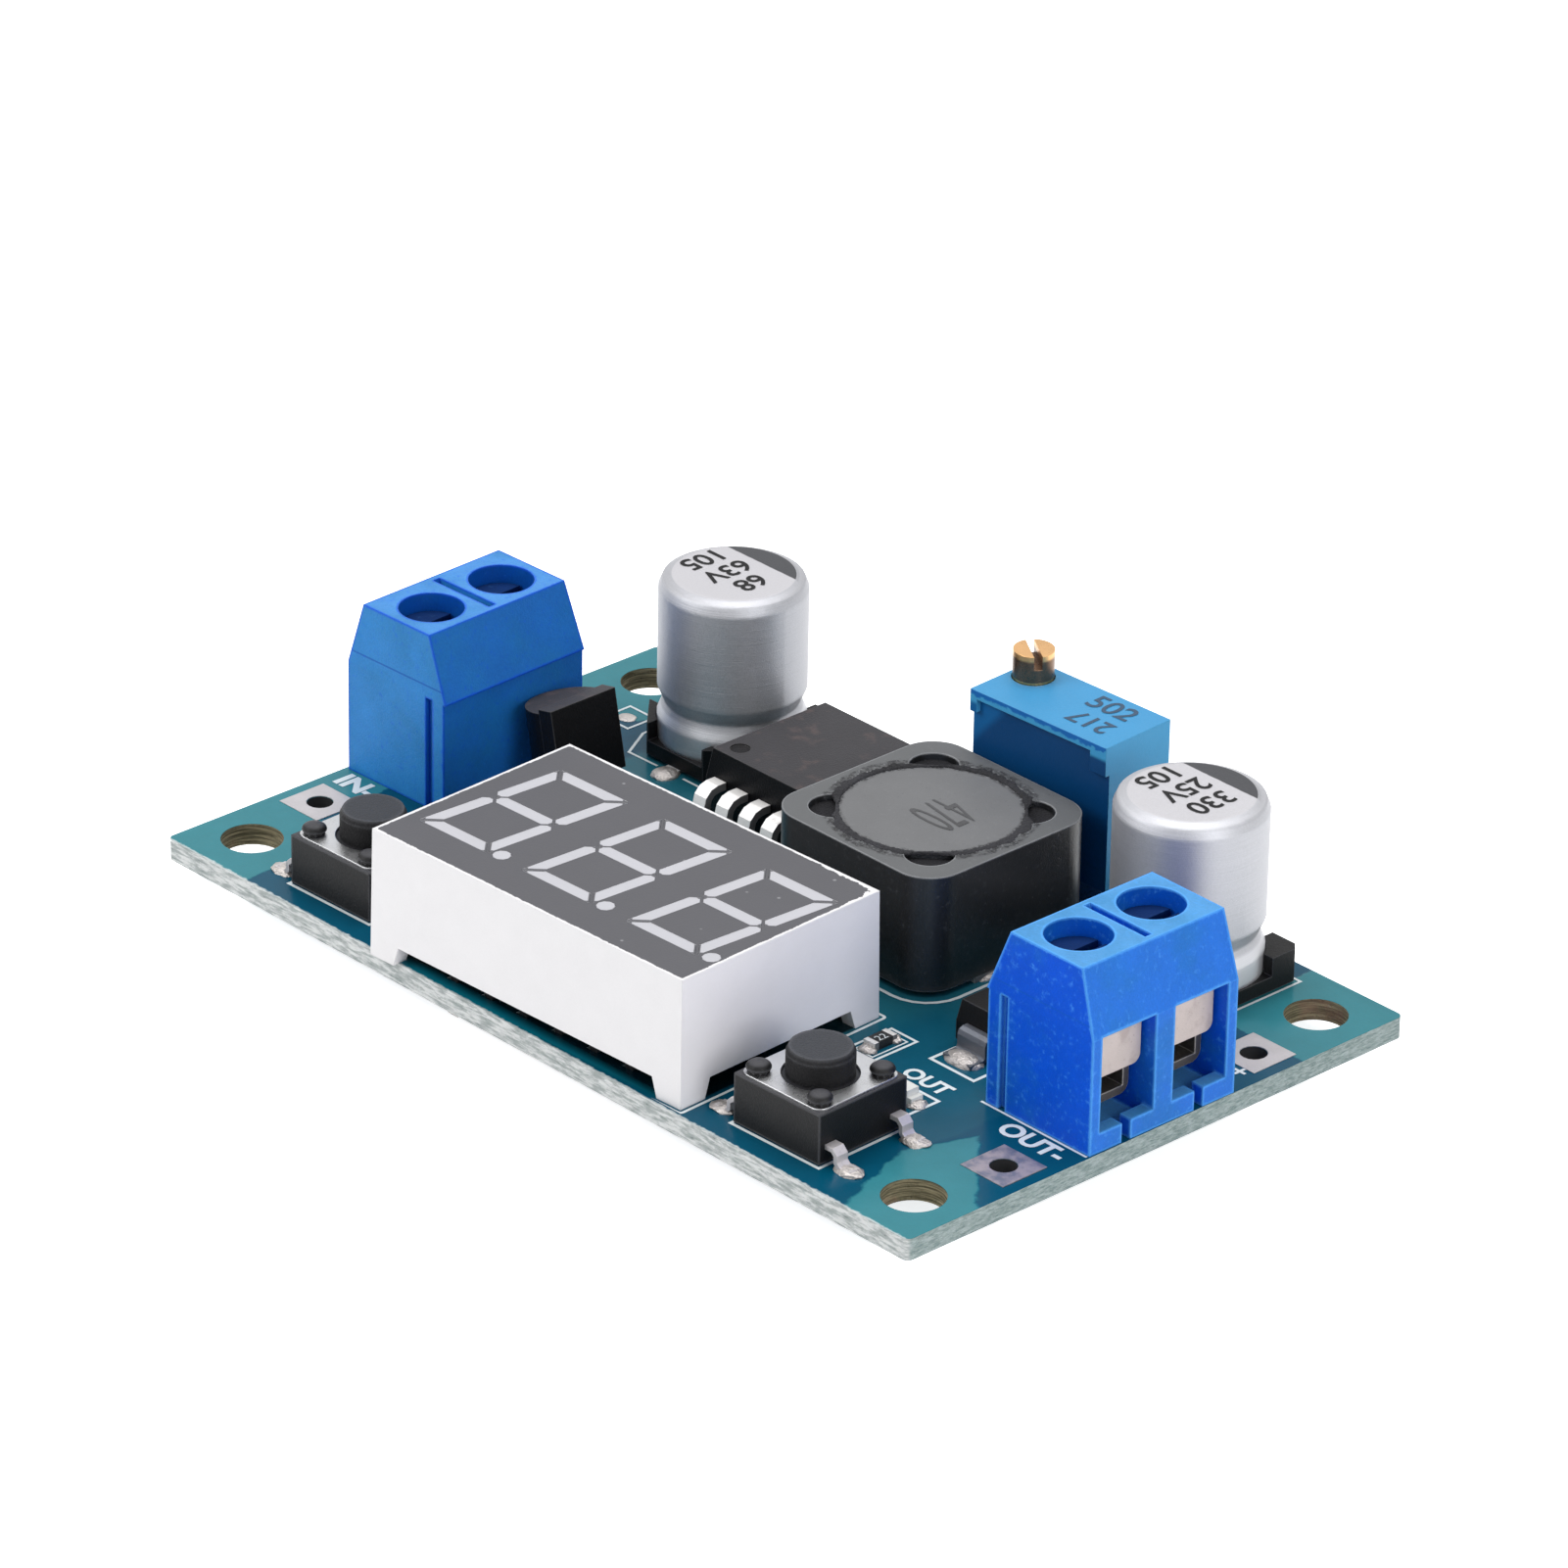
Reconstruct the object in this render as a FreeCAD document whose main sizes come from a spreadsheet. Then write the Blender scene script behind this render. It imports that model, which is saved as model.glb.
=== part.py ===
import FreeCAD, Part
import math
import os
import re
from types import SimpleNamespace

# Adjustable buck converter module: a small circuit board with a three-digit display,
# two screw terminals, a five-lead converter chip, a shielded inductor, two can
# capacitors, a multi-turn trimmer and two push switches.
#
# Frame: millimetres, origin at the centre of the four mounting holes on the board's
# underside. +X runs from the input terminal to the output terminal, +Y from the
# display's edge to the trimmer's edge, +Z out of the component side.
# Each component is modelled about its own middle, with height 0 on the board's top
# face, and is then set in its place and turned as it sits on the board.

SIZES = {
    # Board, mounting holes and wire pads
    "board_length": 56.0,
    "board_width": 34.5,
    "board_thick": 1.2,
    "board_corner": 0.4,
    "mount_inset_x": 3.0,
    "mount_inset_y": 3.25,
    "mount_hole": 3.3,
    "pad_inset": 2.2,
    "pad_place_y": 8.7,
    "pad_side": 3.0,
    "pad_foil": 0.05,
    "pad_hole": 1.4,
    "tail_length": 1.4,
    "short_tail": 0.9,
    "tail_gap": 0.15,
    "fillet_width": 1.9,
    "fillet_height": 0.8,
    # Screw terminals
    "terminal_inset": 3.8,
    "terminal_y": 0.1,
    "input_turn": 1.9,
    "output_turn": -0.35,
    "block_length": 10.0,
    "block_depth": 7.5,
    "block_height": 10.0,
    "seam_height": 6.4,
    "back_step": 0.15,
    "hood_back": 1.4,
    "hood_front": 1.05,
    "hood_end": 0.15,
    "way_pitch": 5.0,
    "bay_width": 3.7,
    "bay_floor": 0.5,
    "bay_height": 6.6,
    "bay_back": 2.75,
    "tab_height": 1.1,
    "tab_depth": 0.8,
    "tab_slot": 0.6,
    "shelf_thick": 0.6,
    "well_gap": 0.1,
    "rib_slot_length": 4.3,
    "rib_slot_width": 0.45,
    "rib_slot_deep": 1.2,
    "key_width": 0.5,
    "key_deep": 0.3,
    "key_place": 2.5,
    # Contacts, clamp cages and clamp screws
    "bar_height": 3.6,
    "bar_thick": 0.5,
    "bar_gap": 0.2,
    "apron_place": 2.45,
    "apron_top": 6.3,
    "apron_corner": 0.5,
    "contact_leg": 1.2,
    "leg_gap": 0.4,
    "cage_gap": 0.25,
    "cage_back": 1.7,
    "cage_front": 2.2,
    "cage_bottom": 1.6,
    "cage_roof_gap": 0.2,
    "cage_strap": 0.45,
    "cage_side": 0.4,
    "cage_block": 1.3,
    "cage_corner": 0.6,
    "screw_head": 3.3,
    "screw_head_thick": 1.25,
    "screw_shank": 2.4,
    "screw_slot": 0.55,
    "screw_slot_deep": 0.6,
    "screw_gap": 0.05,
    # Can capacitors
    "input_cap_x": -16.3,
    "input_cap_inset": 5.35,
    "output_cap_x": 17.9,
    "output_cap_inset": 5.5,
    "can_width": 8.0,
    "input_can_top": 10.3,
    "output_can_top": 10.6,
    "can_shoulder": 0.7,
    "bead_height": 2.1,
    "bead_width": 1.7,
    "bead_deep": 0.35,
    "base_side": 8.2,
    "base_corner": 0.4,
    "base_thick": 0.8,
    "base_bevel": 1.9,
    "post_height": 1.05,
    "post_gap": 0.05,
    "post_length": 2.0,
    "foot_width": 0.9,
    "foot_thick": 0.2,
    "foot_reach": 1.0,
    "foot_inset": 1.6,
    # Converter chip
    "chip_x": -6.35,
    "chip_y": 9.3,
    "chip_width": 9.0,
    "chip_depth": 8.5,
    "chip_draft": 0.25,
    "chip_lift": 0.1,
    "chip_seam": 2.7,
    "chip_top": 4.4,
    "slug_width": 8.0,
    "slug_thick": 1.27,
    "slug_reach": 1.4,
    "slug_bevel": 1.2,
    "lead_pitch": 1.7,
    "lead_width": 0.9,
    "lead_thick": 0.45,
    "lead_out": 1.3,
    "lead_foot": 1.1,
    "lead_bend": 0.75,
    "dot_width": 1.1,
    "dot_deep": 0.1,
    "dot_inset": 1.0,
    # Inductor
    "coil_x": 5.3,
    "coil_y": 5.8,
    "coil_side": 12.0,
    "coil_corner": 2.0,
    "coil_top": 6.8,
    "coil_lift": 0.3,
    "coil_bore": 10.3,
    "notch_width": 2.6,
    "notch_place": 5.0,
    "drum_width": 9.7,
    "drum_drop": 0.05,
    "drum_disc": 1.1,
    "drum_core": 4.6,
    "winding_gap": 0.35,
    "glue_drop": 0.35,
    "glue_thick": 0.7,
    "coil_foot_width": 5.0,
    "coil_foot_length": 2.4,
    # Trimmer
    "pot_x": 5.9,
    "pot_y": 14.95,
    "pot_turn": 2.5,
    "pot_length": 9.53,
    "pot_depth": 4.83,
    "pot_top": 10.0,
    "pot_lift": 0.4,
    "pot_base": 1.2,
    "pot_recess": 0.3,
    "pot_lip": 0.5,
    "near_lug_width": 1.1,
    "near_lug_height": 1.65,
    "far_lug_width": 0.45,
    "far_lug_height": 1.25,
    "adjuster_x": -3.5,
    "adjuster_y": 0.95,
    "adjuster_turn": -34.5,
    "adjuster_width": 2.19,
    "adjuster_rise": 1.6,
    "adjuster_sunk": 2.2,
    "adjuster_slot": 0.45,
    "adjuster_slot_deep": 0.75,
    "adjuster_gap": 0.06,
    "pot_pin": 0.5,
    "pin_pitch": 2.54,
    # Output diode
    "diode_from_terminal": 7.4,
    "diode_y": 0.6,
    "diode_width": 3.6,
    "diode_length": 4.4,
    "diode_top": 2.4,
    "diode_seam": 1.2,
    "diode_draft": 0.2,
    "diode_lift": 0.15,
    "diode_lead": 2.0,
    "diode_out": 0.55,
    "strip_thick": 0.25,
    # Logic regulator
    "reg_from_terminal": 7.05,
    "reg_y": 1.95,
    "reg_lean": -12.0,
    "reg_width": 4.5,
    "reg_flat": 1.3,
    "reg_height": 4.4,
    "reg_leads": 1.3,
    "reg_step": 0.25,
    "reg_face": 1.0,
    "reg_pin": 0.45,
    "reg_pitch": 1.27,
    # Push switches
    "switch_x": 16.85,
    "switch_y": -12.65,
    "switch_turn": 1.4,
    "switch_side": 6.0,
    "switch_lift": 0.1,
    "switch_top": 2.85,
    "cover_side": 5.7,
    "cover_thick": 0.13,
    "cover_hole": 3.95,
    "cover_corner": 0.6,
    "rivet_width": 1.1,
    "rivet_rise": 0.42,
    "rivet_place": 2.15,
    "rivet_gap": 0.02,
    "plunger_width": 3.5,
    "plunger_top": 4.5,
    "plunger_edge": 0.3,
    "flange_width": 4.5,
    "flange_thick": 0.6,
    "well_depth": 1.85,
    "switch_well_gap": 0.2,
    "flange_gap": 0.05,
    "dome_width": 4.2,
    "leg_pitch": 4.5,
    "leg_width": 0.75,
    "leg_thick": 0.25,
    "leg_exit": 1.0,
    "leg_out": 0.75,
    "leg_foot": 1.0,
    # Display
    "display_x": -0.26,
    "display_y": -10.25,
    "display_turn": 2.2,
    "display_length": 22.5,
    "display_width": 14.0,
    "display_top": 7.2,
    "display_draft": 0.08,
    "display_wall": 0.9,
    "display_face": 1.8,
    "foot_height": 1.1,
    "foot_long": 1.7,
    "foot_slope": 0.35,
    "carrier_lift": 1.7,
    "carrier_thick": 0.8,
    "carrier_gap": 0.1,
    "digit_shift": 0.2,
    "digit_width_share": 0.19,
    "digit_height_share": 0.595,
    "digit_slant": 0.1,
    "bar_width": 0.74,
    "bar_space": 0.12,
    "window_gap": 0.02,
    "point_width": 0.95,
    "point_gap": 0.6,
    "display_pin": 0.5,
    "display_row_inset": 1.5,
    # Display controller and small chip parts
    "logic_length": 6.5,
    "logic_width": 4.4,
    "logic_top": 1.1,
    "logic_lift": 0.1,
    "logic_pitch": 0.65,
    "logic_pin": 0.25,
    "logic_pin_thick": 0.15,
    "logic_pin_out": 1.0,
    "chip_part_length": 1.6,
    "chip_part_width": 0.8,
    "chip_part_thick": 0.45,
    "chip_cap_thick": 0.8,
    "chip_end": 0.3,
    "sense_gap": 2.0,
    "sense_y": 5.05,
    "lamp_x": 17.75,
    "lamp_y": -7.65,
    "hidden_gap": 4.8,
    "hidden_pitch": 1.7,
}

doc = FreeCAD.newDocument("buck_converter_module")
sheet = doc.addObject("Spreadsheet::Sheet", "Size")
for row, (word, number) in enumerate(SIZES.items(), start=1):
    sheet.set(f"A{row}", word)
    sheet.set(f"B{row}", str(number))
    sheet.setAlias(f"B{row}", word)
doc.recompute()

S = SimpleNamespace(**{word: float(sheet.get(word)) for word in SIZES})
ROUND_SIDES = 16
SMALL_SIDES = 10
PIECES = []


def tied(text):
    """The same expression with each word pointing to its cell."""
    return re.sub(r"[a-z]\w+", lambda word: "Size." + word.group(), text)


def place(item, x="0", y="0", z="0", turn=None, axis=(0, 0, 1)):
    """Ties an object's place, and its turn in degrees, to the sheet."""
    if turn is not None:
        item.Placement = FreeCAD.Placement(FreeCAD.Vector(), FreeCAD.Rotation(FreeCAD.Vector(*axis), 1.0))
        item.setExpression("Placement.Rotation.Angle", tied(turn))
    item.setExpression("Placement.Base.x", tied(x))
    item.setExpression("Placement.Base.y", tied(y))
    item.setExpression("Placement.Base.z", tied(z))
    return item


def block(name, long, wide, high, x="0", y="0", z="0"):
    """A box given by its sizes, the middle of its plan and its underside."""
    item = doc.addObject("Part::Box", name)
    item.setExpression("Length", tied(long))
    item.setExpression("Width", tied(wide))
    item.setExpression("Height", tied(high))
    return place(item, f"({x}) - ({long}) / 2", f"({y}) - ({wide}) / 2", z)


def rod(name, width, high, x="0", y="0", z="0"):
    """An upright cylinder given by its diameter, height, axis and underside."""
    item = doc.addObject("Part::Cylinder", name)
    item.setExpression("Radius", tied(f"({width}) / 2"))
    item.setExpression("Height", tied(high))
    return place(item, x, y, z)


def prism(name, width, high, sides, x="0", y="0", z="0"):
    """An upright rod with a few flat sides, for what is small or hidden."""
    item = doc.addObject("Part::Prism", name)
    item.Polygon = sides
    item.setExpression("Circumradius", tied(f"({width}) / 2"))
    item.setExpression("Height", tied(high))
    return place(item, x, y, z)


def turned(name, profile):
    """A solid of revolution: profile lists its widths and heights from the bottom up."""
    bands = []
    for (low_width, low), (high_width, high) in zip(profile, profile[1:]):
        if low_width == high_width:
            bands.append(rod(name + "_band", low_width, f"({high}) - ({low})", z=low))
            continue
        if low == high:
            continue
        band = doc.addObject("Part::Cone", name + "_band")
        band.setExpression("Radius1", tied(f"({low_width}) / 2"))
        band.setExpression("Radius2", tied(f"({high_width}) / 2"))
        band.setExpression("Height", tied(f"({high}) - ({low})"))
        bands.append(place(band, z=low))
    return joined(name, bands)


def hood(name, plan, z, top, inset):
    """A block with sloping sides: its plan is (x0, x1, y0, y1) at z, drawn in by inset at top."""
    item = doc.addObject("Part::Wedge", name)
    x0, x1, y0, y1 = plan
    back, front, right, left = inset
    bounds = {
        "Xmin": x0, "Xmax": x1, "X2min": f"{x0} + ({back})", "X2max": f"{x1} - ({front})",
        "Zmin": f"-({y1})", "Zmax": f"-({y0})", "Z2min": f"-({y1}) + ({left})",
        "Z2max": f"-({y0}) - ({right})", "Ymin": z, "Ymax": top,
    }
    for side, text in bounds.items():
        item.setExpression(side, tied(text))
    item.Placement = FreeCAD.Placement(FreeCAD.Vector(), FreeCAD.Rotation(FreeCAD.Vector(1, 0, 0), 90))
    return item


def joined(name, items):
    """One solid made of touching or overlapping parts."""
    item = doc.addObject("Part::MultiFuse", name)
    item.Shapes = items
    item.Refine = True
    return item


def grouped(name, items):
    """Separate solids that share one node."""
    item = doc.addObject("Part::Compound", name)
    item.Links = items
    return item


def cut(name, base, tools):
    """The base with each tool taken out of it."""
    item = doc.addObject("Part::Cut", name)
    item.Base = base
    item.Tool = tools[0] if len(tools) == 1 else joined(name + "_tools", tools)
    return item


def rounded(name, base, radius, picks):
    """The base with the edges that picks() accepts rounded to a radius."""
    doc.recompute()
    item = doc.addObject("Part::Fillet", name)
    item.Base = base
    edges = enumerate(base.Shape.Edges, start=1)
    item.Edges = [(number, radius, radius) for number, edge in edges if picks(edge)]
    return item


def upright(edge):
    """True for a straight edge that runs along Z."""
    ends = [vertex.Point for vertex in edge.Vertexes]
    return len(ends) == 2 and abs((ends[1] - ends[0]).z) > 0.999 * edge.Length


def shaped(name, shape):
    """A feature that holds a shape worked out here."""
    item = doc.addObject("Part::Feature", name)
    item.Shape = shape
    return item


def strip(points, bend, width, thick, axis, steps=1):
    """A flat strip bent along points in an upright plane, each bend made in a few flat steps.

    axis is the level direction across the strip."""
    path = [FreeCAD.Vector(*point) for point in points]
    line = [path[0]]
    for before, corner, after in zip(path, path[1:], path[2:]):
        into = (corner - before).normalize()
        out = (after - corner).normalize()
        half_turn = into.getAngle(out) / 2
        centre = corner + (out - into).normalize() * (bend / math.cos(half_turn))
        spoke = corner - into * (bend * math.tan(half_turn)) - centre
        for step in range(steps + 1):
            turn = FreeCAD.Rotation(into.cross(out), math.degrees(2 * half_turn) * step / steps)
            line.append(centre + turn.multVec(spoke))
    line.append(path[-1])
    across = FreeCAD.Vector(*axis)
    normals = [(end - start).normalize().cross(across) for start, end in zip(line, line[1:])]
    mitres = [(here + there) * (thick / 2 / (1 + here.dot(there)))
              for here, there in zip(normals[:1] + normals, normals + normals[-1:])]
    upper = [point + mitre - across * (width / 2) for point, mitre in zip(line, mitres)]
    under = [point - mitre - across * (width / 2) for point, mitre in zip(line, mitres)]
    outline = upper + under[::-1]
    return Part.Face(Part.makePolygon(outline + outline[:1])).extrude(across * width)


def keep(label, item, x="0", y="0", turn="0", axis=(0, 0, 1)):
    """Names a finished sub-part and sets it on the board."""
    place(item, x, y, "board_thick", turn, axis)
    item.Label = label
    PIECES.append(item)
    return item


# Through-hole tails: each lists the plan of its pins, so that the board's holes, the
# pins and the solder under the board all come from the same places.

def terminal_pins():
    return [("-(cage_back + leg_gap + bar_thick / 2)", f"{side} * way_pitch / 2") for side in (-1, 1)]


def trimmer_pins():
    return [(f"{step} * pin_pitch", "0") for step in (-1, 0, 1)]


def display_pins():
    columns = [step + 0.5 for step in range(-3, 3)]
    row = "(display_width / 2 - display_row_inset)"
    return [(f"{column} * pin_pitch", f"{side} * {row}") for side in (-1, 1) for column in columns]


def regulator_pins():
    return [("0", f"{step} * reg_pitch") for step in (-1, 0, 1)]


def on_board(name, item, x, y, turn):
    return place(item, x, y, "0", turn)


TERMINALS = {
    "input": ("-(board_length / 2 - terminal_inset)", "terminal_y", "180 + input_turn"),
    "output": ("board_length / 2 - terminal_inset", "terminal_y", "output_turn"),
}
REGULATOR_X = TERMINALS["input"][0] + " + reg_from_terminal"
DIODE_X = TERMINALS["output"][0] + " - diode_from_terminal"
STRAIGHT = ("0", "0", "0", "0")
TAILED = [
    ("input_terminal", terminal_pins, "contact_leg", "tail_length", TERMINALS["input"]),
    ("output_terminal", terminal_pins, "contact_leg", "tail_length", TERMINALS["output"]),
    ("trimmer", trimmer_pins, "pot_pin", "tail_length", ("pot_x", "pot_y", "pot_turn")),
    ("display", display_pins, "display_pin", "short_tail", ("display_x", "display_y", "display_turn")),
    ("regulator", regulator_pins, "reg_pin", "tail_length", (REGULATOR_X, "reg_y", "0")),
]


# Circuit board: rectangular laminate with corner holes, wire holes and pin holes

def pad_place(across, along):
    return f"{across} * (board_length / 2 - pad_inset)", f"{along} * pad_place_y"


def make_board():
    plate = block("board_plate", "board_length", "board_width", "board_thick")
    plate = rounded("board_outline", plate, S.board_corner, upright)
    drills = []
    for across in (-1, 1):
        for along in (-1, 1):
            x = f"{across} * (board_length / 2 - mount_inset_x)"
            y = f"{along} * (board_width / 2 - mount_inset_y)"
            drills.append(rod("mount_drill", "mount_hole", "board_thick", x, y))
            drills.append(rod("wire_drill", "pad_hole", "board_thick", *pad_place(across, along)))
    for name, pins, width, _, spot in TAILED:
        side = f"{width} + 2 * tail_gap"
        holes = [block(name + "_drill", side, side, "board_thick", x, y) for x, y in pins()]
        drills.append(on_board(name, grouped(name + "_drills", holes), *spot))
    board = doc.addObject("Part::Cut", "board")
    board.Base = plate
    board.Tool = grouped("board_drills", drills)
    place(board, turn="0")
    board.Label = "circuit_board"
    PIECES.append(board)


def make_wire_pads():
    """Tinned squares round the wire holes, on both faces."""
    pads = []
    for across in (-1, 1):
        for along in (-1, 1):
            spot = pad_place(across, along)
            for z in ("board_thick", "-pad_foil"):
                square = block("pad_square", "pad_side", "pad_side", "pad_foil", *spot, z)
                drill = prism("pad_drill", "pad_hole + pad_foil", "pad_foil", ROUND_SIDES, *spot, z)
                pads.append(cut("wire_pad", square, [drill]))
    item = place(grouped("pads", pads), turn="0")
    item.Label = "wire_pads"
    PIECES.append(item)


def make_underside_solder():
    """A collar of solder round each pin tail under the board, narrower at its tip."""
    groups = []
    for name, pins, width, reach, spot in TAILED:
        collars = []
        for x, y in pins():
            wide = f"({width}) / 2 + fillet_width / 4"
            plan = (f"{x} - ({wide})", f"{x} + ({wide})", f"{y} - ({wide})", f"{y} + ({wide})")
            collar = hood(name + "_solder", plan, "-fillet_height", "0", STRAIGHT)
            for low, high, middle in (("Xmin", "Xmax", x), ("Zmin", "Zmax", f"-({y})")):
                collar.setExpression(low, tied(f"{middle} - ({width}) * 0.7"))
                collar.setExpression(high, tied(f"{middle} + ({width}) * 0.7"))
            thick = "bar_thick" if "terminal" in name else width
            tail = block(name + "_tail", thick, width, f"{reach} + board_thick", x, y, f"-{reach}")
            collars.append(cut(name + "_fillet", collar, [tail]))
        groups.append(on_board(name, grouped(name + "_fillets", collars), *spot))
    item = place(grouped("fillets", groups), turn="0")
    item.Label = "underside_solder"
    PIECES.append(item)


# Screw terminals, wire side towards +X

def make_terminal(side):
    spot = TERMINALS[side]
    half = ("-block_depth / 2", "block_depth / 2", "-block_length / 2", "block_length / 2")
    stepped = ("-block_depth / 2 + back_step",) + half[1:]
    lower = hood("terminal_lower", stepped, "0", "seam_height", STRAIGHT)
    upper = hood("terminal_hood", half, "seam_height", "block_height",
                 ("hood_back", "hood_front", "hood_end", "hood_end"))
    tools = []
    inner = "block_depth / 2 - tab_depth"
    for way in (-1, 1):
        y = f"{way} * way_pitch / 2"
        tools += [
            block("bay", f"bay_back + {inner}", "bay_width", "bay_height",
                  f"({inner} - bay_back) / 2", y, "bay_floor"),
            block("bay_mouth", "tab_depth * 2", "bay_width", "seam_height - tab_height",
                  "block_depth / 2", y, "tab_height"),
            block("tab_gap", "tab_depth * 2", "tab_slot", "tab_height", "block_depth / 2", y, "0"),
            rod("screw_well", "screw_head + 2 * well_gap", "block_height",
                "0", y, "bay_floor + bay_height + shelf_thick"),
            prism("shelf_hole", "screw_shank + 2 * screw_gap", "block_height", ROUND_SIDES,
                  "0", y, "bay_floor + bay_height / 2"),
            block("leg_slot", "bar_thick + 2 * screw_gap", "contact_leg + 2 * screw_gap", "bay_floor",
                  "-(cage_back + leg_gap + bar_thick / 2)", y, "0"),
            block("key_groove", "key_width", "key_deep * 2", "seam_height",
                  "-key_place", f"{way} * block_length / 2", "0"),
        ]
    tools.append(block("rib_slot", "rib_slot_length", "rib_slot_width", "rib_slot_deep",
                       "(hood_back - hood_front) / 2", "0", "block_height - rib_slot_deep"))
    housing = cut(f"{side}_housing", joined("terminal_body", [lower, upper]), tools)
    keep(f"{side}_terminal_housing", housing, *spot)

    contacts = [make_contact(f"{way} * way_pitch / 2") for way in (-1, 1)]
    keep(f"{side}_terminal_contacts", grouped(f"{side}_contacts", contacts), *spot)
    for number, way in enumerate((-1, 1), start=1):
        y = f"{way} * way_pitch / 2"
        keep(f"{side}_clamp_cage_{number}", make_cage(y), *spot)
        keep(f"{side}_clamp_screw_{number}", make_clamp_screw(y), *spot)


def make_contact(y):
    """A bent plate: solder leg, bar through the cage and upturned apron that guides the wire."""
    leg_x = "-(cage_back + leg_gap + bar_thick / 2)"
    bar = "bay_width - 2 * (cage_gap + cage_side + bar_gap)"
    leg = block("contact_leg_plate", "bar_thick", "contact_leg",
                "bar_height + bar_thick + board_thick + tail_length", leg_x, y, "-(board_thick + tail_length)")
    through = block("contact_bar", "apron_place + cage_back + leg_gap + bar_thick", bar, "bar_thick",
                    "(apron_place - cage_back - leg_gap - bar_thick) / 2", y, "bar_height")
    apron = block("contact_apron", "bar_thick", "bay_width - 2 * cage_gap", "apron_top - bar_height",
                  "apron_place + bar_thick / 2", y, "bar_height")

    def low_corner(edge):
        return abs(edge.CenterOfMass.z - S.bar_height) < 1e-4 and abs(edge.Length - S.bar_thick) < 1e-4
    apron = rounded("contact_apron_round", apron, S.apron_corner, low_corner)
    return joined("contact", [leg, through, apron])


def make_cage(y):
    """A steel loop with a thick threaded block at its top."""
    bottom = "cage_bottom"
    top = "bay_floor + bay_height - cage_roof_gap"
    long = "cage_back + cage_front"
    middle = "(cage_front - cage_back) / 2"
    wide = "bay_width - 2 * cage_gap"
    outer = block("cage_outer", long, wide, f"{top} - {bottom}", middle, y, bottom)

    def low_edge(edge):
        length = S.cage_back + S.cage_front
        return abs(edge.CenterOfMass.z - S.cage_bottom) < 1e-4 and abs(edge.Length - length) < 1e-4
    outer = rounded("cage_round", outer, S.cage_corner, low_edge)
    space = block("cage_space", f"{long}", f"{wide} - 2 * cage_side",
                  f"{top} - {bottom} - cage_strap - cage_block", middle, y, f"{bottom} + cage_strap")
    thread = prism("cage_thread", "screw_shank + 2 * screw_gap", "block_height", ROUND_SIDES,
                   "0", y, "bar_height")
    return cut("cage", outer, [space, thread])


def make_clamp_screw(y):
    """A cheese-head screw whose tip bears on the contact bar."""
    seat = "bay_floor + bay_height + shelf_thick + screw_gap"
    tip = "bar_height + bar_thick + screw_gap"
    head = prism("clamp_head", "screw_head", "screw_head_thick", ROUND_SIDES * 2, "0", y, seat)
    shank = prism("clamp_shank", "screw_shank", f"{seat} - ({tip})", ROUND_SIDES, "0", y, tip)
    slot = block("clamp_slot", "screw_slot", "screw_head * 2", "screw_slot_deep",
                 "0", y, f"{seat} + screw_head_thick - screw_slot_deep")
    return cut("clamp_screw", joined("clamp_screw_body", [head, shank]), [slot])


# Can capacitors, bevelled base corners towards -Y

def make_capacitor(side):
    spot = (f"{side}_cap_x", f"board_width / 2 - {side}_cap_inset", "0")
    low = "foot_thick + base_thick"
    top = f"{side}_can_top"
    full = "can_width"
    waist = f"{low} + bead_height"
    can = turned(f"{side}_can", [
        (full, low),
        (full, f"{waist} - bead_width / 2"),
        ("can_width - 2 * bead_deep", waist),
        (full, f"{waist} + bead_width / 2"),
        (full, f"{top} - can_shoulder"),
        ("can_width - can_shoulder * 0.586", f"{top} - can_shoulder * 0.293"),
        ("can_width - can_shoulder * 2", top),
    ])
    keep(f"{side}_capacitor_can", can, *spot)

    plate = block("base_plate", "base_side", "base_side", "base_thick", z="foot_thick")
    posts = [block("base_post", "post_length", "post_length", "post_height",
                   f"{across} * (base_side - post_length) / 2", f"{along} * (base_side - post_length) / 2", low)
             for across in (-1, 1) for along in (-1, 1)]
    hollow = rod("base_hollow", "can_width + 2 * post_gap", top, z=low)
    bevels = [bevel_corner(across, along, top) for across in (-1, 1) for along in (-1, 1)]
    base = cut(f"{side}_base", joined("base_body", [plate] + posts), [hollow] + bevels)
    keep(f"{side}_capacitor_base", base, *spot)

    feet = [block("cap_foot", "foot_width", "foot_reach + foot_inset", "foot_thick", "0",
                  f"{along} * (base_side + foot_reach - foot_inset) / 2", "0") for along in (-1, 1)]
    keep(f"{side}_capacitor_feet", grouped(f"{side}_feet", feet), *spot)


def bevel_corner(across, along, high):
    """A three-cornered prism that takes off one corner of the base, more on the -Y side."""
    prism_cut = doc.addObject("Part::Wedge", "base_bevel_prism")
    reach = "base_bevel" if along < 0 else "base_corner"
    for side, text in {"Xmin": "0", "Xmax": reach, "X2min": "0", "X2max": "0", "Ymin": "0", "Ymax": reach,
                       "Zmin": "0", "Zmax": high, "Z2min": "0", "Z2max": high}.items():
        prism_cut.setExpression(side, tied(text))
    turn = {(-1, -1): 0.0, (1, -1): 90.0, (1, 1): 180.0, (-1, 1): 270.0}[across, along]
    prism_cut.Placement = FreeCAD.Placement(FreeCAD.Vector(), FreeCAD.Rotation(FreeCAD.Vector(0, 0, 1), turn))
    prism_cut.setExpression("Placement.Base.x", tied(f"{across} * base_side / 2"))
    prism_cut.setExpression("Placement.Base.y", tied(f"{along} * base_side / 2"))
    return prism_cut


# Converter chip, leads towards -Y

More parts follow.
